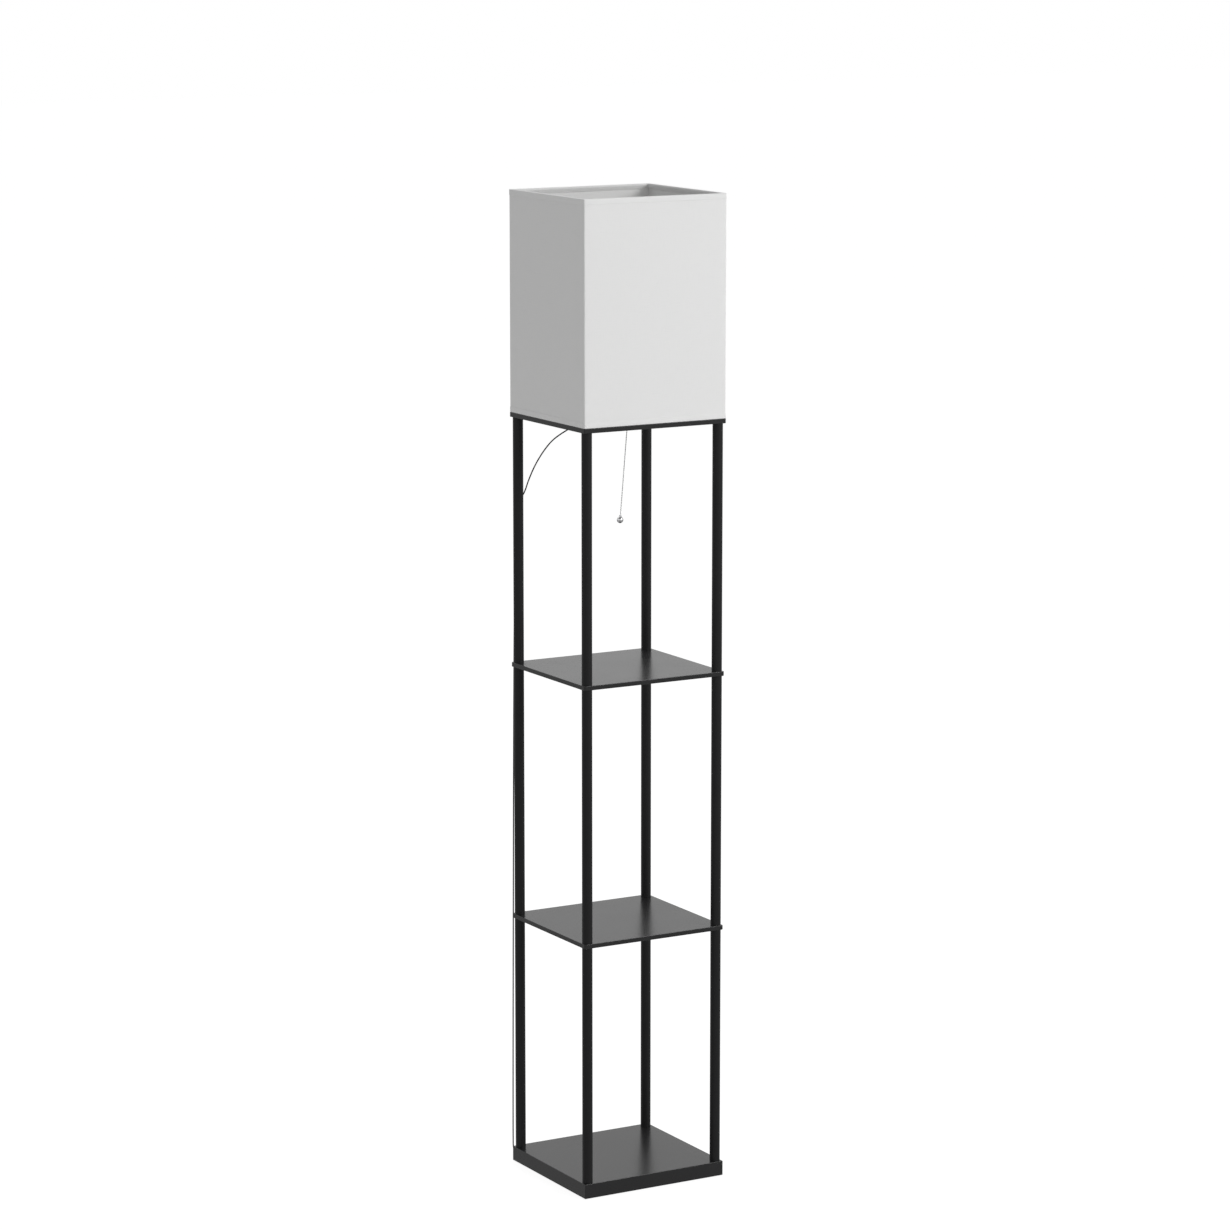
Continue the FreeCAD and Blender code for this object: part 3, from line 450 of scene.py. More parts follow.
def addPiece(name, data, body, slot, *replaced, material=None):
    # Takes its slot's finish, unless a material is given
    piece = bpy.data.objects.new(name, data)
    bpy.context.scene.collection.objects.link(piece)
    data.materials.clear()
    data.materials.append(material or finishes[slot])
    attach(piece, body)
    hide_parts(*replaced)
    return piece


def smoothFaces(mesh, angle=None):
    # Edges that bend by more than the angle stay sharp
    for face in mesh.polygons:
        face.use_smooth = True
    if angle:
        mesh.set_sharp_from_angle(angle=math.radians(angle))


def tidyNormals(mesh, angle=sharpAngle):
    work = bmesh.new()
    work.from_mesh(mesh)
    bmesh.ops.remove_doubles(work, verts=work.verts, dist=mergeDistance)
    bmesh.ops.recalc_face_normals(work, faces=work.faces)
    work.to_mesh(mesh)
    work.free()
    smoothFaces(mesh, angle)
    return mesh


def lathe(name, outline, segments):
    # Closed body of revolution about Z; outline runs from axis to axis as (radius, height)
    work = bmesh.new()
    rings = []
    for radius, height in outline:
        if radius < axisRadius:
            rings.append([work.verts.new((0, 0, height))])
            continue
        ring = []
        for step in range(segments):
            angle = 2 * math.pi * step / segments
            ring.append(work.verts.new((radius * math.cos(angle), radius * math.sin(angle), height)))
        rings.append(ring)
    for lower, upper in zip(rings, rings[1:]):
        for step in range(segments):
            following = (step + 1) % segments
            corners = [lower[step % len(lower)], lower[following % len(lower)]]
            corners += [upper[following % len(upper)], upper[step % len(upper)]]
            unique = list(dict.fromkeys(corners))
            if len(unique) > 2:
                work.faces.new(unique)
    mesh = bpy.data.meshes.new(name)
    work.to_mesh(mesh)
    work.free()
    return tidyNormals(mesh)


def arcPoints(centre, radius, startAngle, endAngle, steps):
    points = []
    for step in range(steps + 1):
        angle = math.radians(startAngle + (endAngle - startAngle) * step / steps)
        points.append((centre[0] + radius * math.cos(angle), centre[1] + radius * math.sin(angle)))
    return points


# Geometry Nodes helpers


def newTree(name, inputs):
    # inputs: socket name -> socket type. Returns the tree, its input and output nodes and the identifiers
    tree = bpy.data.node_groups.new(name, "GeometryNodeTree")
    identifiers = {}
    tree.interface.new_socket(name="Geometry", in_out="INPUT", socket_type="NodeSocketGeometry")
    for socketName, kind in inputs.items():
        socket = tree.interface.new_socket(name=socketName, in_out="INPUT", socket_type="NodeSocket" + kind)
        identifiers[socketName] = socket.identifier
    tree.interface.new_socket(name="Geometry", in_out="OUTPUT", socket_type="NodeSocketGeometry")
    return tree, tree.nodes.new("NodeGroupInput"), tree.nodes.new("NodeGroupOutput"), identifiers


def sweptWire(tree, curve, radius, sides):
    section = addNode(tree, "GeometryNodeCurvePrimitiveCircle", {"Resolution": sides, "Radius": radius})
    inputs = {"Curve": curve, "Profile Curve": section.outputs["Curve"], "Fill Caps": True}
    return addNode(tree, "GeometryNodeCurveToMesh", inputs).outputs["Mesh"]


def endTree(tree, outNode, geometry, material):
    realized = addNode(tree, "GeometryNodeRealizeInstances", {"Geometry": geometry})
    inputs = {"Geometry": realized.outputs["Geometry"], "Material": material}
    painted = addNode(tree, "GeometryNodeSetMaterial", inputs)
    tree.links.new(painted.outputs["Geometry"], outNode.inputs["Geometry"])


def runTree(name, tree, identifiers, values, source=None):
    # Evaluates the tree on a carrier object and gives the plain mesh
    carrier = bpy.data.objects.new(name + "Carrier", source or bpy.data.meshes.new(name + "Carrier"))
    bpy.context.scene.collection.objects.link(carrier)
    modifier = carrier.modifiers.new(tree.name, "NODES")
    modifier.node_group = tree
    for socketName, value in values.items():
        modifier[identifiers[socketName]] = value
    evaluated = carrier.evaluated_get(bpy.context.evaluated_depsgraph_get())
    mesh = bpy.data.meshes.new_from_object(evaluated)
    mesh.name = name
    carrier.modifiers.clear()
    bpy.data.objects.remove(carrier)
    return mesh


# Power cord: strain relief, one NURBS spline down to the coil, and the plug

cordSizes = {
    "diameter": 2.2 * mm,
    "length": 2.1975,
    "bevelSteps": 4,
    "curveSteps": 6,
    "splineOrder": 3,
    "outletLevel": 1231.6 * mm,
    "outletWay": (-112.0, 118.0, 0.0),
    "reliefTip": 36.0 * mm,      # from the lamp's axis
    "reliefStart": 14.0 * mm,
    "firstRun": 26.0 * mm,
    "coilCentre": (-84.0, 143.0),    # the coil's and the tail's sizes are in millimetres
    "coilInnerRadius": 9.7,
    "coilOuterRadius": 16.325,
    "coilPitch": 2.65,
    "coilFloor": 1.15,
    "coilLayers": 4,
    "turnsPerLayer": 2.5,
    "climbTurns": 0.5,
    "pointsPerTurn": 16,
    "plugLevel": 6.55,
    "tailRun": 44.0,
    "tailShift": 8.0,
    "tailEase": 11.4,
    "lead": 2.2,
}


def outletPoint(distance):
    way = Vector(cordSizes["outletWay"]).normalized()
    return way * distance + Vector((0, 0, cordSizes["outletLevel"]))


# Down from the outlet, in millimetres: the arc to the post, the run behind it, the bend on the floor
cordCorners = [
    (-69.4, 73.1, 1208.4),
    (-80.9, 85.2, 1191.6),
    (-93.2, 98.6, 1164.4),
    (-101.8, 108.7, 1135.6),
    (-105.6, 114.6, 1115.0),
    (-111.4, 123.4, 1100.0),
    (-119.6, 125.2, 1084.0),
    (-126.9, 125.0, 38.0),
    (-125.2, 125.8, 14.0),
    (-113.6, 127.8, 1.15),
    (-99.5, 126.675, 1.15),
]


def coilPoint(turn):
    sizes = cordSizes
    inward = 1 - abs((turn / sizes["turnsPerLayer"]) % 2 - 1)
    radius = sizes["coilOuterRadius"] + (sizes["coilInnerRadius"] - sizes["coilOuterRadius"]) * inward
    height = sizes["coilFloor"]
    for layer in range(1, sizes["coilLayers"]):
        share = (turn - layer * sizes["turnsPerLayer"]) / sizes["climbTurns"] + 0.5
        share = min(max(share, 0.0), 1.0)
        height += sizes["coilPitch"] * share * share * (3 - 2 * share)
    angle = 2 * math.pi * turn - math.pi / 2
    centre = sizes["coilCentre"]
    return Vector((centre[0] + radius * math.cos(angle), centre[1] + radius * math.sin(angle), height)) * mm


def cordLine():
    sizes = cordSizes
    points = [outletPoint(sizes["reliefTip"]), outletPoint(sizes["reliefTip"] + sizes["firstRun"])]
    points += [Vector(corner) * mm for corner in cordCorners]
    lead = Vector((sizes["lead"] * mm, 0, 0))
    points.append(coilPoint(0) - lead)
    turns = sizes["turnsPerLayer"] * sizes["coilLayers"]
    steps = int(turns * sizes["pointsPerTurn"])
    points += [coilPoint(turns * step / steps) for step in range(steps + 1)]
    coilExit = points[-1]
    tailEnd = coilExit + Vector((sizes["tailRun"] * mm, sizes["tailShift"] * mm, 0))
    tailEnd.z = sizes["plugLevel"] * mm
    ease = Vector((sizes["tailEase"] * mm, 0, 0))
    points += [coilExit + ease, tailEnd - ease, tailEnd, tailEnd + lead]
    return points


def addCord():
    curve = bpy.data.curves.new("powerCord", "CURVE")
    curve.dimensions = "3D"
    curve.bevel_depth = cordSizes["diameter"] / 2
    curve.bevel_resolution = cordSizes["bevelSteps"]
    curve.resolution_u = cordSizes["curveSteps"]
    curve.use_fill_caps = True
    line = cordLine()
    spline = curve.splines.new("NURBS")
    spline.points.add(len(line) - 1)
    for point, place in zip(spline.points, line):
        point.co = (*place, 1)
    spline.order_u = cordSizes["splineOrder"]
    spline.use_endpoint_u = True
    return addPiece("powerCord", curve, "frame", "cord_black", "power_cord", "cord_coil"), line


powerCord, cordPoints = addCord()

reliefSizes = {
    "segments": 40,
    "rootRadius": 2.8 * mm,
    "rootEnd": 1.0 * mm,         # past the relief's start, where its root stops being even
    "tipRadius": 1.6 * mm,
    "tipLength": 0.4 * mm,
    "tipChamfer": 0.25 * mm,
    "flangeRadius": 3.4 * mm,
    "flangeStart": 10.7 * mm,
    "flangeEnd": 11.9 * mm,
    "grooves": 6,
    "firstGroove": 2.0 * mm,     # past the relief's start
    "plainLength": 4.0 * mm,     # of the relief's length, left without grooves
    "grooveDepth": 0.45 * mm,
    "grooveWidth": 1.1 * mm,
    "grooveSlope": 0.2 * mm,
}


def addStrainRelief():
    sizes = reliefSizes
    start = cordSizes["reliefStart"]
    end = cordSizes["reliefTip"]
    root = sizes["rootRadius"]
    tip = sizes["tipRadius"]
    depth = sizes["grooveDepth"]
    slope = sizes["grooveSlope"]

    def taperRadius(distance):
        share = (distance - start) / (end - start)
        return root + (tip - root) * share

    outline = [(0, sizes["flangeStart"]), (sizes["flangeRadius"], sizes["flangeStart"])]
    outline += [(sizes["flangeRadius"], sizes["flangeEnd"]), (root, sizes["flangeEnd"])]
    outline.append((root, start + sizes["rootEnd"]))
    pitch = (end - start - sizes["plainLength"]) / sizes["grooves"]
    for index in range(sizes["grooves"]):
        near = start + sizes["firstGroove"] + index * pitch
        far = near + sizes["grooveWidth"]
        outline += [(taperRadius(near), near), (taperRadius(near) - depth, near + slope)]
        outline += [(taperRadius(far) - depth, far - slope), (taperRadius(far), far)]
    outline += [(tip, end - sizes["tipLength"]), (tip - sizes["tipChamfer"], end), (0, end)]
    mesh = lathe("strainReliefSleeve", outline, sizes["segments"])
    way = Vector(cordSizes["outletWay"]).normalized()
    turn = Vector((0, 0, 1)).rotation_difference(way).to_matrix().to_4x4()
    mesh.transform(Matrix.Translation((0, 0, cordSizes["outletLevel"])) @ turn)
    addPiece("strainReliefSleeve", mesh, "frame", "black_rubber", "strain_relief")


addStrainRelief()

# Plug, in millimetres. A section is (distance along X, half width, half height, roundness)
plugSizes = {
    "start": (-37.8, 134.675, 6.55),
    "segments": 56,
    "neckBands": 9,              # by turns a dip and a ridge
    "neckLength": 18.8,
    "neckRadius": 1.75,
    "neckGrowth": 1.35,
    "neckRidge": 0.28,
    "neckDip": -0.1,
    "neckRoundness": 2.0,
    "bandEdges": (0.25, 1.65),   # past the band's start
    "shoulder": [
        (18.8, 3.0, 3.0, 2.0),
        (19.6, 3.4, 3.3, 2.0),
        (20.2, 5.6, 4.4, 2.2),
        (21.4, 8.0, 5.4, 2.6),
        (23.4, 9.6, 6.0, 3.0),
        (26.0, 10.2, 6.3, 3.4),
    ],
    "grooves": 3,
    "firstGroove": 28.0,
    "groovePitch": 3.6,
    "grooveWidth": 1.2,
    "grooveSlope": 0.6,
    "groove": (9.7, 6.1, 3.4),
    "ridge": (10.2, 6.3, 3.4),
    "head": [
        (37.0, 10.3, 6.3, 3.6),
        (39.0, 11.2, 6.45, 4.0),
        (41.0, 11.8, 6.5, 4.2),
        (45.0, 12.0, 6.5, 4.4),
        (47.2, 12.0, 6.5, 4.4),
        (47.8, 11.7, 6.2, 4.4),
        (48.0, 11.3, 5.8, 4.4),
    ],
}


def plugSections():
    sizes = plugSizes
    sections = []
    for index in range(sizes["neckBands"]):
        share = index / sizes["neckBands"]
        ridge = sizes["neckRidge"] if index % 2 else sizes["neckDip"]
        radius = sizes["neckRadius"] + sizes["neckGrowth"] * share + ridge
        for edge in sizes["bandEdges"]:
            sections.append((sizes["neckLength"] * share + edge, radius, radius, sizes["neckRoundness"]))
    sections += sizes["shoulder"]
    for index in range(sizes["grooves"]):
        near = sizes["firstGroove"] + index * sizes["groovePitch"]
        far = near + sizes["grooveWidth"]
        following = near + sizes["groovePitch"]
        sections += [(near, *sizes["groove"]), (far, *sizes["groove"])]
        if index < sizes["grooves"] - 1:
            sections.append((far + sizes["grooveSlope"], *sizes["ridge"]))
            sections.append((following - sizes["grooveSlope"], *sizes["ridge"]))
    return sections + sizes["head"]


def addPlug():
    start = Vector(plugSizes["start"])
    work = bmesh.new()
    rings = []
    for distance, halfWidth, halfHeight, roundness in plugSections():
        ring = []
        for step in range(plugSizes["segments"]):
            angle = 2 * math.pi * step / plugSizes["segments"]
            cosine = math.cos(angle)
            sine = math.sin(angle)
            y = math.copysign(abs(cosine) ** (2 / roundness), cosine) * halfWidth
            z = math.copysign(abs(sine) ** (2 / roundness), sine) * halfHeight
            ring.append(work.verts.new((start + Vector((distance, y, z))) * mm))
        rings.append(ring)
    for near, far in zip(rings, rings[1:]):
        for step in range(len(near)):
            following = (step + 1) % len(near)
            work.faces.new((near[step], near[following], far[following], far[step]))
    work.faces.new(rings[0])
    work.faces.new(rings[-1])
    mesh = bpy.data.meshes.new("plugMoulding")
    work.to_mesh(mesh)
    work.free()
    tidyNormals(mesh)
    return addPiece("plugMoulding", mesh, "frame", "black_rubber", "plug_body")


plugMoulding = addPlug()

print("cord laid")


# Shade: the cloth skin and its two hems, both lofted round the lamp's footprint

shadeSizes = {
    "halfX": footprint.x,
    "halfY": footprint.y,
    "cornerRadius": 2.5 * mm,
    "leastRadius": 0.25 * mm,    # of a corner, however large the inset
    "cornerSteps": 8,
    "sideSteps": 34,
    "skinInset": 0.5 * mm,
    "skinThickness": 1.0 * mm,
    "skinEnd": 1.2 * mm,         # from the rims to the skin's edges, inside the hems
    "levels": 48,
    "unevenness": 0.1 * mm,
    "cloudScale": (14, 14, 11),  # of the unevenness, along X, Y and Z
    "seamPlace": 0.1105,         # from the back face's middle, towards +X
    "seamWidth": 0.012,
    "seamRise": 0.35 * mm,
    "backFacing": 0.99,          # a way whose Y is at least this faces straight back
}


def ringAt(inset):
    # Points round the footprint at an inset, as (place, outward way, distance round the outer face)
    sizes = shadeSizes
    halfX = sizes["halfX"]
    halfY = sizes["halfY"]
    outerRadius = sizes["cornerRadius"]
    outerArc = outerRadius * math.pi / 2
    radius = max(outerRadius - inset, sizes["leastRadius"])
    points = []
    travelled = 0.0
    # For each corner its signs, its first angle and half the side that follows it
    corners = ((1, -1, -90, halfY), (1, 1, 0, halfX), (-1, 1, 90, halfY), (-1, -1, 180, halfX))
    for signX, signY, startAngle, half in corners:
        centre = Vector((signX * (halfX - inset - radius), signY * (halfY - inset - radius), 0))
        for step in range(sizes["cornerSteps"] + 1):
            angle = math.radians(startAngle + 90 * step / sizes["cornerSteps"])
            way = Vector((math.cos(angle), math.sin(angle), 0))
            points.append((centre + way * radius, way, travelled + outerArc * step / sizes["cornerSteps"]))
        travelled += outerArc
        outerSide = 2 * (half - outerRadius)
        side = 2 * (half - inset - radius)
        endAngle = math.radians(startAngle + 90)
        endWay = Vector((math.cos(endAngle), math.sin(endAngle), 0))
        along = Vector((-endWay.y, endWay.x, 0))
        sideStart = centre + endWay * radius
        for step in range(1, sizes["sideSteps"]):
            share = step / sizes["sideSteps"]
            points.append((sideStart + along * (side * share), endWay, travelled + outerSide * share))
        travelled += outerSide
    return points, travelled


def seamShare(place, way):
    # 1 on the strip where the cloth's ends overlap, on the back face near its +X corner
    onBack = way.y >= shadeSizes["backFacing"]
    onStrip = abs(place.x - shadeSizes["seamPlace"]) < shadeSizes["seamWidth"] / 2
    return 1.0 if onBack and onStrip else 0.0


def cloudAt(place, level, scale):
    return noise.noise(Vector((place.x * scale[0], place.y * scale[1], level * scale[2])))


# Shares of a closed line within which a face's corners count as near its start or its end
lineStart = 0.25
lineEnd = 0.75


def unwrapped(distances, around):
    # On the face that closes the line, the corners at its start go on past its end
    if max(distances) <= around * lineEnd:
        return distances
    return [distance + around if distance < around * lineStart else distance for distance in distances]


def addClothMap(mesh, places, around, over=math.inf):
    # places: (U, V) of each vertex. U begins again after the length around, V after the length over
    layer = mesh.uv_layers.new(name="cloth")
    for face in mesh.polygons:
        corners = [places[vertex] for vertex in face.vertices]
        across = unwrapped([corner[0] for corner in corners], around)
        along = unwrapped([corner[1] for corner in corners], over)
        for loop, u, v in zip(face.loop_indices, across, along):
            layer.data[loop].uv = (u, v)


def addSkin():
    sizes = shadeSizes
    outer, around = ringAt(sizes["skinInset"])
    inner, _ = ringAt(sizes["skinInset"] + sizes["skinThickness"])
    bottom = plateTop + sizes["skinEnd"]
    top = shadeTop - sizes["skinEnd"]
    verts = []
    uvs = []
    count = len(outer)
    for ring, lifted in ((outer, True), (inner, False)):
        for level in range(sizes["levels"] + 1):
            z = bottom + (top - bottom) * level / sizes["levels"]
            for place, way, distance in ring:
                lift = 0.0
                if lifted:
                    cloud = cloudAt(place, z, sizes["cloudScale"])
                    lift = sizes["unevenness"] * cloud + sizes["seamRise"] * seamShare(place, way)
                verts.append(place + way * lift + Vector((0, 0, z)))
                uvs.append((distance, z))
    faces = []
    rows = sizes["levels"] + 1
    for side in (0, 1):
        base = side * rows * count
        for level in range(sizes["levels"]):
            for step in range(count):
                following = (step + 1) % count
                a = base + level * count + step
                b = base + level * count + following
                faces.append((a, b, b + count, a + count) if side == 0 else (a, a + count, b + count, b))
    for level, flip in ((0, True), (sizes["levels"], False)):
        for step in range(count):
            following = (step + 1) % count
            a = level * count + step
            b = level * count + following
            inside = rows * count
            face = (a, b, b + inside, a + inside)
            faces.append(face[::-1] if flip else face)
    mesh = bpy.data.meshes.new("shadeClothSkin")
    mesh.from_pydata([tuple(vert) for vert in verts], [], faces)
    addClothMap(mesh, uvs, around)
    smoothFaces(mesh, clothSharpAngle)
    # The inner face is marked with 1 for the darker painted-shade colour
    paintedShadeInside = mesh.attributes.new("paintedShadeInside", "FLOAT", "POINT")
    for index in range(rows * count, 2 * rows * count):
        paintedShadeInside.data[index].value = 1.0
    mesh.validate()
    return addPiece("shadeClothSkin", mesh, "frame", "white_fabric", "shade_skin", material=skinCloth)


shadeSkin = addSkin()

hemSizes = {
    "height": 9.0 * mm,
    "thickness": 0.45 * mm,
    "width": 5.3 * mm,           # over the wire
    # The edge on the skin: (inset, how much short of the hem's height)
    "outerEdge": ((0.2 * mm, 0.0), (0.02 * mm, 0.25 * mm), (0.0, 0.8 * mm)),
    "middle": 0.55,              # share of the height
    "outerCorner": 1.0 * mm,
    "innerCorner": 0.8 * mm,
    "cornerSteps": 6,
    "slopeStart": 3.0 * mm,      # under the rim, where the hem leaves the wire for the skin
    # The bend into the slope: (how much short of the width, how far past the slope's start)
    "bend": ((0.0, -0.5 * mm), (0.08 * mm, 0.05 * mm)),
    "slopeShares": (0.1, 0.35, 0.65, 0.94, 1.0),
    "innerEdge": 2.0 * mm,       # how far in the hem ends, inside the shade
    "wobble": 0.12 * mm,
    "wobbleStart": 0.8,          # share of the height
    "cloudScale": (22, 22, 3),   # of the wobble, along X, Y and Z
    "seamShare": 0.4,            # of the seam's rise on the skin
    "seamInset": 0.4 * mm,       # the seam shows at smaller insets only
}


def hemProfile():
    # The cloth's outer line as (inset, depth), from its edge on the skin over the rim and the wire
    # to its edge inside
    sizes = hemSizes
    height = sizes["height"]
    width = sizes["width"]
    outer = sizes["outerCorner"]
    inner = sizes["innerCorner"]
    start = sizes["slopeStart"]
    points = [(inset, height - short) for inset, short in sizes["outerEdge"]]
    points.append((0.0, height * sizes["middle"]))
    points += arcPoints((outer, outer), outer, 180, 270, sizes["cornerSteps"])
    points += arcPoints((width - inner, inner), inner, 270, 360, sizes["cornerSteps"])
    points += [(width - short, start + past) for short, past in sizes["bend"]]
    for share in sizes["slopeShares"]:
        points.append((width + (sizes["innerEdge"] - width) * share, start + (height - start) * share))
    return points


def offsetLine(points, thickness):
    # The same line moved towards its inner side
    moved = []
    for index, point in enumerate(points):
        before = points[max(index - 1, 0)]
        after = points[min(index + 1, len(points) - 1)]
        dx = after[0] - before[0]
        dy = after[1] - before[1]
        length = math.hypot(dx, dy)
        moved.append((point[0] - dy / length * thickness, point[1] + dx / length * thickness))
    return moved


def addHems():
    sizes = hemSizes
    outerLine = hemProfile()
    innerLine = offsetLine(outerLine, sizes["thickness"])
    profile = outerLine + innerLine[::-1]
    lengths = [0.0]
    for before, after in zip(profile, profile[1:] + profile[:1]):
        lengths.append(lengths[-1] + math.hypot(after[0] - before[0], after[1] - before[1]))
    verts = []
    faces = []
    uvs = []
    for rim, inwards in ((plateTop, 1), (shadeTop, -1)):
        base = len(verts)
        for index, (inset, depth) in enumerate(profile):
            ring, around = ringAt(max(inset, 0.0))
            edgeShare = max(depth / sizes["height"] - sizes["wobbleStart"], 0.0) / (1 - sizes["wobbleStart"])
            for place, way, distance in ring:
                wobble = cloudAt(place, rim, sizes["cloudScale"]) * sizes["wobble"] * edgeShare
                lift = 0.0
                if inset < sizes["seamInset"]:
                    lift = shadeSizes["seamRise"] * seamShare(place, way) * sizes["seamShare"]
                z = rim + inwards * (depth + wobble)
                verts.append(place + way * lift + Vector((0, 0, z)))
                uvs.append((distance, lengths[index]))
        count = len(ring)
        for index in range(len(profile)):
            near = base + index * count
            far = base + ((index + 1) % len(profile)) * count
            for step in range(count):
                following = (step + 1) % count
                faces.append((near + step, near + following, far + following, far + step))
    mesh = bpy.data.meshes.new("shadeHemBands")
    mesh.from_pydata([tuple(vert) for vert in verts], [], faces)
    addClothMap(mesh, uvs, around, lengths[-1])
    tidyNormals(mesh, clothSharpAngle)
    return addPiece("shadeHemBands", mesh, "frame", "white_fabric", "shade_hems", material=hemCloth)


shadeHems = addHems()
print("shade sewn")


# Pull chain: beads on a link rod, made plumb under the swing pivot and then slanted

chainSizes = {
    "pivot": (18.5, 0.0, 1229.5),    # in millimetres
    "slant": 4.97,
    "top": 6.3 * mm,             # under the pivot, where the connector ends
    "beadCount": 51,
    "beadRadius": 1.0 * mm,
    "beadSegments": 16,
    "beadRings": 10,
    "linkRadius": 0.4 * mm,
    "linkSides": 10,
    "ballDrop": 153.3 * mm,
    "collarTop": 7.82 * mm,      # above the ball's centre
}


def chainPlace():
    pivot = Vector(chainSizes["pivot"]) * mm
    turn = Matrix.Rotation(math.radians(chainSizes["slant"]), 4, "Y")
    return Matrix.Translation(pivot) @ turn


def beadChainTree():
    sizes = chainSizes
    sockets = {
        "Bead Count": "Int",
        "Bead Radius": "Float",
        "Pitch": "Vector",
        "Link Radius": "Float",
        "Link End": "Vector",
    }
    tree, inNode, outNode, identifiers = newTree("beadChain", sockets)
    given = inNode.outputs
    inputs = {"Segments": sizes["beadSegments"], "Rings": sizes["beadRings"], "Radius": given["Bead Radius"]}
    bead = addNode(tree, "GeometryNodeMeshUVSphere", inputs)
    row = addNode(tree, "GeometryNodeMeshLine", {"Count": given["Bead Count"], "Offset": given["Pitch"]})
    inputs = {"Points": row.outputs["Mesh"], "Instance": bead.outputs["Mesh"]}
    beads = addNode(tree, "GeometryNodeInstanceOnPoints", inputs)
    link = addNode(tree, "GeometryNodeCurvePrimitiveLine", {"End": given["Link End"]})
    rod = sweptWire(tree, link.outputs["Curve"], given["Link Radius"], sizes["linkSides"])
    joined = addNode(tree, "GeometryNodeJoinGeometry", {"Geometry": beads.outputs["Instances"]})
    tree.links.new(rod, joined.inputs["Geometry"])
    endTree(tree, outNode, joined.outputs["Geometry"], finishes["chain_metal"])
    return tree, identifiers


def addLowerChain():
    sizes = chainSizes
    tree, identifiers = beadChainTree()
    bottom = sizes["ballDrop"] - sizes["collarTop"]
    run = bottom - sizes["top"] - 2 * sizes["beadRadius"]
    values = {
        "Bead Count": sizes["beadCount"],
        "Bead Radius": sizes["beadRadius"],
        "Pitch": (0, 0, -run / (sizes["beadCount"] - 1)),
        "Link Radius": sizes["linkRadius"],
        "Link End": (0, 0, -run),
    }
    mesh = runTree("beadChainLower", tree, identifiers, values)
    mesh.transform(Matrix.Translation((0, 0, -(sizes["top"] + sizes["beadRadius"]))))
    mesh.transform(chainPlace())
    smoothFaces(mesh)
    addPiece("beadChainLower", mesh, "pull_chain", "chain_metal", "lower_chain")


ballSizes = {
    "segments": 56,
    "radius": 5.3 * mm,
    "ballSteps": 30,
    "collarRadius": 2.2 * mm,
    "collarSteps": 6,
    "neckInset": 0.35 * mm,      # the insets are from the collar's radius
    "neckHeight": 0.35 * mm,     # it and the levels are from where the neck leaves the ball
    "ringRadius": 0.45 * mm,
    "ringLevel": 1.0 * mm,
    "ringArc": (-70, 80),
    "grooveInset": 0.4 * mm,
    "grooveLevel": 1.6 * mm,
    "capRadius": 0.5 * mm,
    "capArc": (-20, 90),
}


def addPullBall():
    sizes = ballSizes
    radius = sizes["radius"]
    collar = sizes["collarRadius"]
    neck = collar - sizes["neckInset"]
    ring = sizes["ringRadius"]
    cap = sizes["capRadius"]
    steps = sizes["collarSteps"]
    top = chainSizes["collarTop"]
    outline = arcPoints((0, 0), radius, -90, math.degrees(math.acos(neck / radius)), sizes["ballSteps"])
    outline[0] = (0, -radius)
    neckLevel = outline[-1][1]
    outline.append((neck, neckLevel + sizes["neckHeight"]))
    outline += arcPoints((collar - ring, neckLevel + sizes["ringLevel"]), ring, *sizes["ringArc"], steps)
    outline.append((collar - sizes["grooveInset"], neckLevel + sizes["grooveLevel"]))
    outline += arcPoints((collar - cap, top - cap), cap, *sizes["capArc"], steps)
    outline.append((0, top))
    mesh = lathe("pullBallTurned", outline, sizes["segments"])
    mesh.transform(Matrix.Translation((0, 0, -chainSizes["ballDrop"])))
    mesh.transform(chainPlace())
    addPiece("pullBallTurned", mesh, "pull_chain", "polished_ball", "pull_ball")


addLowerChain()
addPullBall()
print("pull chain hung")


# Return spring under the switch lever, which presses it together when the chain is pulled

springSizes = {
    "wireRadius": 0.35 * mm,
    "turns": 7.5,
    "pointsPerTurn": 24,
    "wireSides": 12,
    "pressedShare": 0.68,
}


def springTree():
    sockets = {
        "Turns": "Float",
        "Points Per Turn": "Int",
        "Radius": "Float",
        "Rise": "Float",
        "Wire Radius": "Float",
    }
    tree, inNode, outNode, identifiers = newTree("springCoil", sockets)
    given = inNode.outputs
    inputs = {
        "Resolution": given["Points Per Turn"],
        "Rotations": given["Turns"],
        "Start Radius": given["Radius"],
        "End Radius": given["Radius"],
        "Height": given["Rise"],
        "Reverse": True,
    }
    line = addNode(tree, "GeometryNodeCurveSpiral", inputs)
    wire = sweptWire(tree, line.outputs["Curve"], given["Wire Radius"], springSizes["wireSides"])
    endTree(tree, outNode, wire, finishes["zinc_steel"])
    return tree, identifiers


def addSpring():
    low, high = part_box("return_spring")
    wire = springSizes["wireRadius"]
    tree, identifiers = springTree()
    values = {
        "Turns": springSizes["turns"],
        "Points Per Turn": springSizes["pointsPerTurn"],
        "Radius": (high.x - low.x) / 2 - wire,
        "Rise": high.z - low.z - 2 * wire,
        "Wire Radius": wire,
    }
    mesh = runTree("returnSpringCoil", tree, identifiers, values)
    foot = Vector(((low.x + high.x) / 2, (low.y + high.y) / 2, low.z))
    mesh.transform(Matrix.Translation(foot + Vector((0, 0, wire))))
    tidyNormals(mesh)
    piece = addPiece("returnSpringCoil", mesh, "frame", "zinc_steel", "return_spring")
    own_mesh(piece)


addSpring()
print("spring wound")


# Foam pads under the base, repeated at its corners

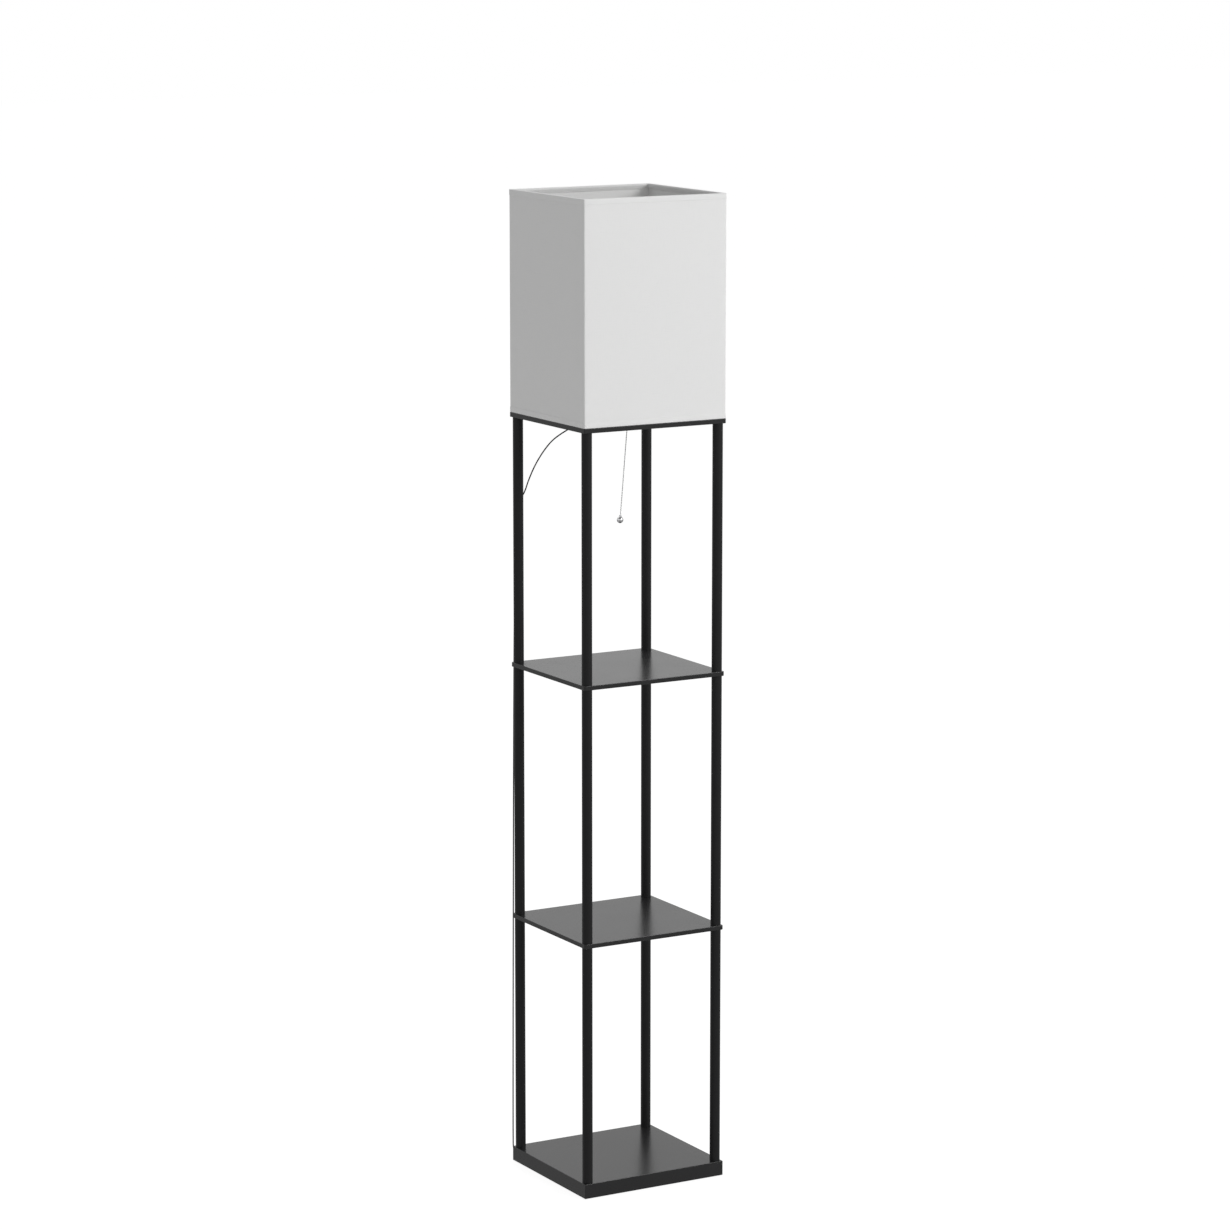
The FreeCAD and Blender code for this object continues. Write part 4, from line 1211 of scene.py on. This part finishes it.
padSizes = {
    "segments": 40,
    "radius": 10.0 * mm,
    "height": 1.5 * mm,
    "edge": 0.35 * mm,
    "edgeSteps": 4,
    "rimWidth": 2.0 * mm,        # of the outer band of the underside
    "spacingX": 190.0 * mm,
    "spacingY": 175.0 * mm,
}


def addPads():
    sizes = padSizes
    edge = sizes["edge"]
    outline = [(0, 0), (sizes["radius"] - sizes["rimWidth"], 0)]
    outline += arcPoints((sizes["radius"] - edge, edge), edge, -90, 0, sizes["edgeSteps"])
    outline += arcPoints((sizes["radius"] - edge, sizes["height"] - edge), edge, 0, 90, sizes["edgeSteps"])
    outline.append((0, sizes["height"]))
    pad = lathe("padDisc", outline, sizes["segments"])
    tree, inNode, outNode, identifiers = newTree("padSpots", {"Spacing X": "Float", "Spacing Y": "Float"})
    given = inNode.outputs
    inputs = {"Vertices X": 2, "Vertices Y": 2, "Size X": given["Spacing X"], "Size Y": given["Spacing Y"]}
    grid = addNode(tree, "GeometryNodeMeshGrid", inputs)
    inputs = {"Points": grid.outputs["Mesh"], "Instance": given["Geometry"]}
    spots = addNode(tree, "GeometryNodeInstanceOnPoints", inputs)
    endTree(tree, outNode, spots.outputs["Instances"], finishes["pad_foam"])
    values = {"Spacing X": sizes["spacingX"], "Spacing Y": sizes["spacingY"]}
    mesh = runTree("floorPadDiscs", tree, identifiers, values, pad)
    piece = addPiece("floorPadDiscs", mesh, "frame", "pad_foam", "floor_pads")


addPads()
print("pads stuck on")


# Floor, sky and lamps

stageLook = {
    "floorSize": 60.0,
    "floorColour": (0.8, 0.8, 0.8),
    "floorGlow": 0.91,           # what the camera sees of the floor before its own shading
    "floorShading": (0.2, 0.2, 0.2),
    "floorReflected": 0.42,      # what gloss sees of the floor
    "skyFill": 0.465,            # light from all round on the object
    "skySeen": 1.0,              # what the camera sees
    "skyFront": 0.85,            # what gloss sees in front of the lamp
    "skyBackLow": 1.03,          # and behind it, at the horizon
    "skyBackHigh": 0.57,         # and 30 degrees above it
    "skyHighRise": 0.5,          # sine of those 30 degrees
    "skyBlend": 0.3,             # front turns into back from minus this to this, in a way's Y
    "lampAim": (0, 0, 0.9),
}

lampLooks = {
    "keyLamp": {"place": (2.6, -4.2, 3.4), "size": 2.4, "power": 133.0},
    "backLamp": {"place": (0.6, 3.2, 4.3), "size": 2.0, "power": 42.0},
}


def addFloor():
    look = stageLook
    half = look["floorSize"] / 2
    corners = [(-half, -half, 0), (half, -half, 0), (half, half, 0), (-half, half, 0)]
    mesh = bpy.data.meshes.new("paleFloor")
    mesh.from_pydata(corners, [], [(0, 1, 2, 3)])
    floor = bpy.data.objects.new("paleFloor", mesh)
    bpy.context.scene.collection.objects.link(floor)
    material = bpy.data.materials.new("paleFloor")
    material.use_nodes = True
    tree = material.node_tree
    tree.nodes.clear()
    rays = addNode(tree, "ShaderNodeLightPath").outputs
    seen = mathNode(tree, "MAXIMUM", rays["Is Camera Ray"], rays["Is Transmission Ray"])
    surface = addNode(tree, "ShaderNodeBsdfDiffuse", {"Color": (*look["floorColour"], 1)}).outputs[0]
    reflected = addNode(tree, "ShaderNodeEmission", {"Strength": look["floorReflected"]}).outputs[0]
    glow = addNode(tree, "ShaderNodeEmission", {"Strength": look["floorGlow"]}).outputs[0]
    shading = addNode(tree, "ShaderNodeBsdfDiffuse", {"Color": (*look["floorShading"], 1)}).outputs[0]
    both = addNode(tree, "ShaderNodeAddShader", {0: glow, 1: shading}).outputs[0]
    for share, shader in ((rays["Is Glossy Ray"], reflected), (seen, both)):
        surface = addNode(tree, "ShaderNodeMixShader", {0: share, 1: surface, 2: shader}).outputs[0]
    addNode(tree, "ShaderNodeOutputMaterial", {"Surface": surface})
    mesh.materials.append(material)


def addSky():
    look = stageLook
    world = bpy.data.worlds.new("studioSky")
    bpy.context.scene.world = world
    world.use_nodes = True
    tree = world.node_tree
    background = tree.nodes["Background"]
    background.inputs["Color"].default_value = (1, 1, 1, 1)
    rays = addNode(tree, "ShaderNodeLightPath").outputs
    way = addNode(tree, "ShaderNodeTexCoord").outputs["Generated"]
    split = addNode(tree, "ShaderNodeSeparateXYZ", {"Vector": way}).outputs
    behind = mapRange(tree, split["Z"], look["skyBackLow"], look["skyBackHigh"], 0.0, look["skyHighRise"])
    blend = look["skyBlend"]
    reflected = mapRange(tree, split["Y"], look["skyFront"], behind, -blend, blend)
    seen = look["skySeen"]
    strength = look["skyFill"]
    for ray, value in (("Is Glossy Ray", reflected), ("Is Camera Ray", seen), ("Is Transmission Ray", seen)):
        inputs = {0: rays[ray], 2: strength, 3: value}
        strength = addNode(tree, "ShaderNodeMix", inputs, data_type="FLOAT").outputs[0]
    tree.links.new(strength, background.inputs["Strength"])


def addLamps():
    for name, look in lampLooks.items():
        data = bpy.data.lights.new(name, "AREA")
        data.shape = "DISK"
        data.size = look["size"]
        data.energy = look["power"]
        lamp = bpy.data.objects.new(name, data)
        lamp.location = look["place"]
        aim = Vector(stageLook["lampAim"]) - Vector(look["place"])
        lamp.rotation_euler = aim.to_track_quat("-Z", "Y").to_euler()
        bpy.context.scene.collection.objects.link(lamp)


addFloor()
addSky()
addLamps()
bpy.context.scene.view_settings.view_transform = "Standard"
print("stage lit")
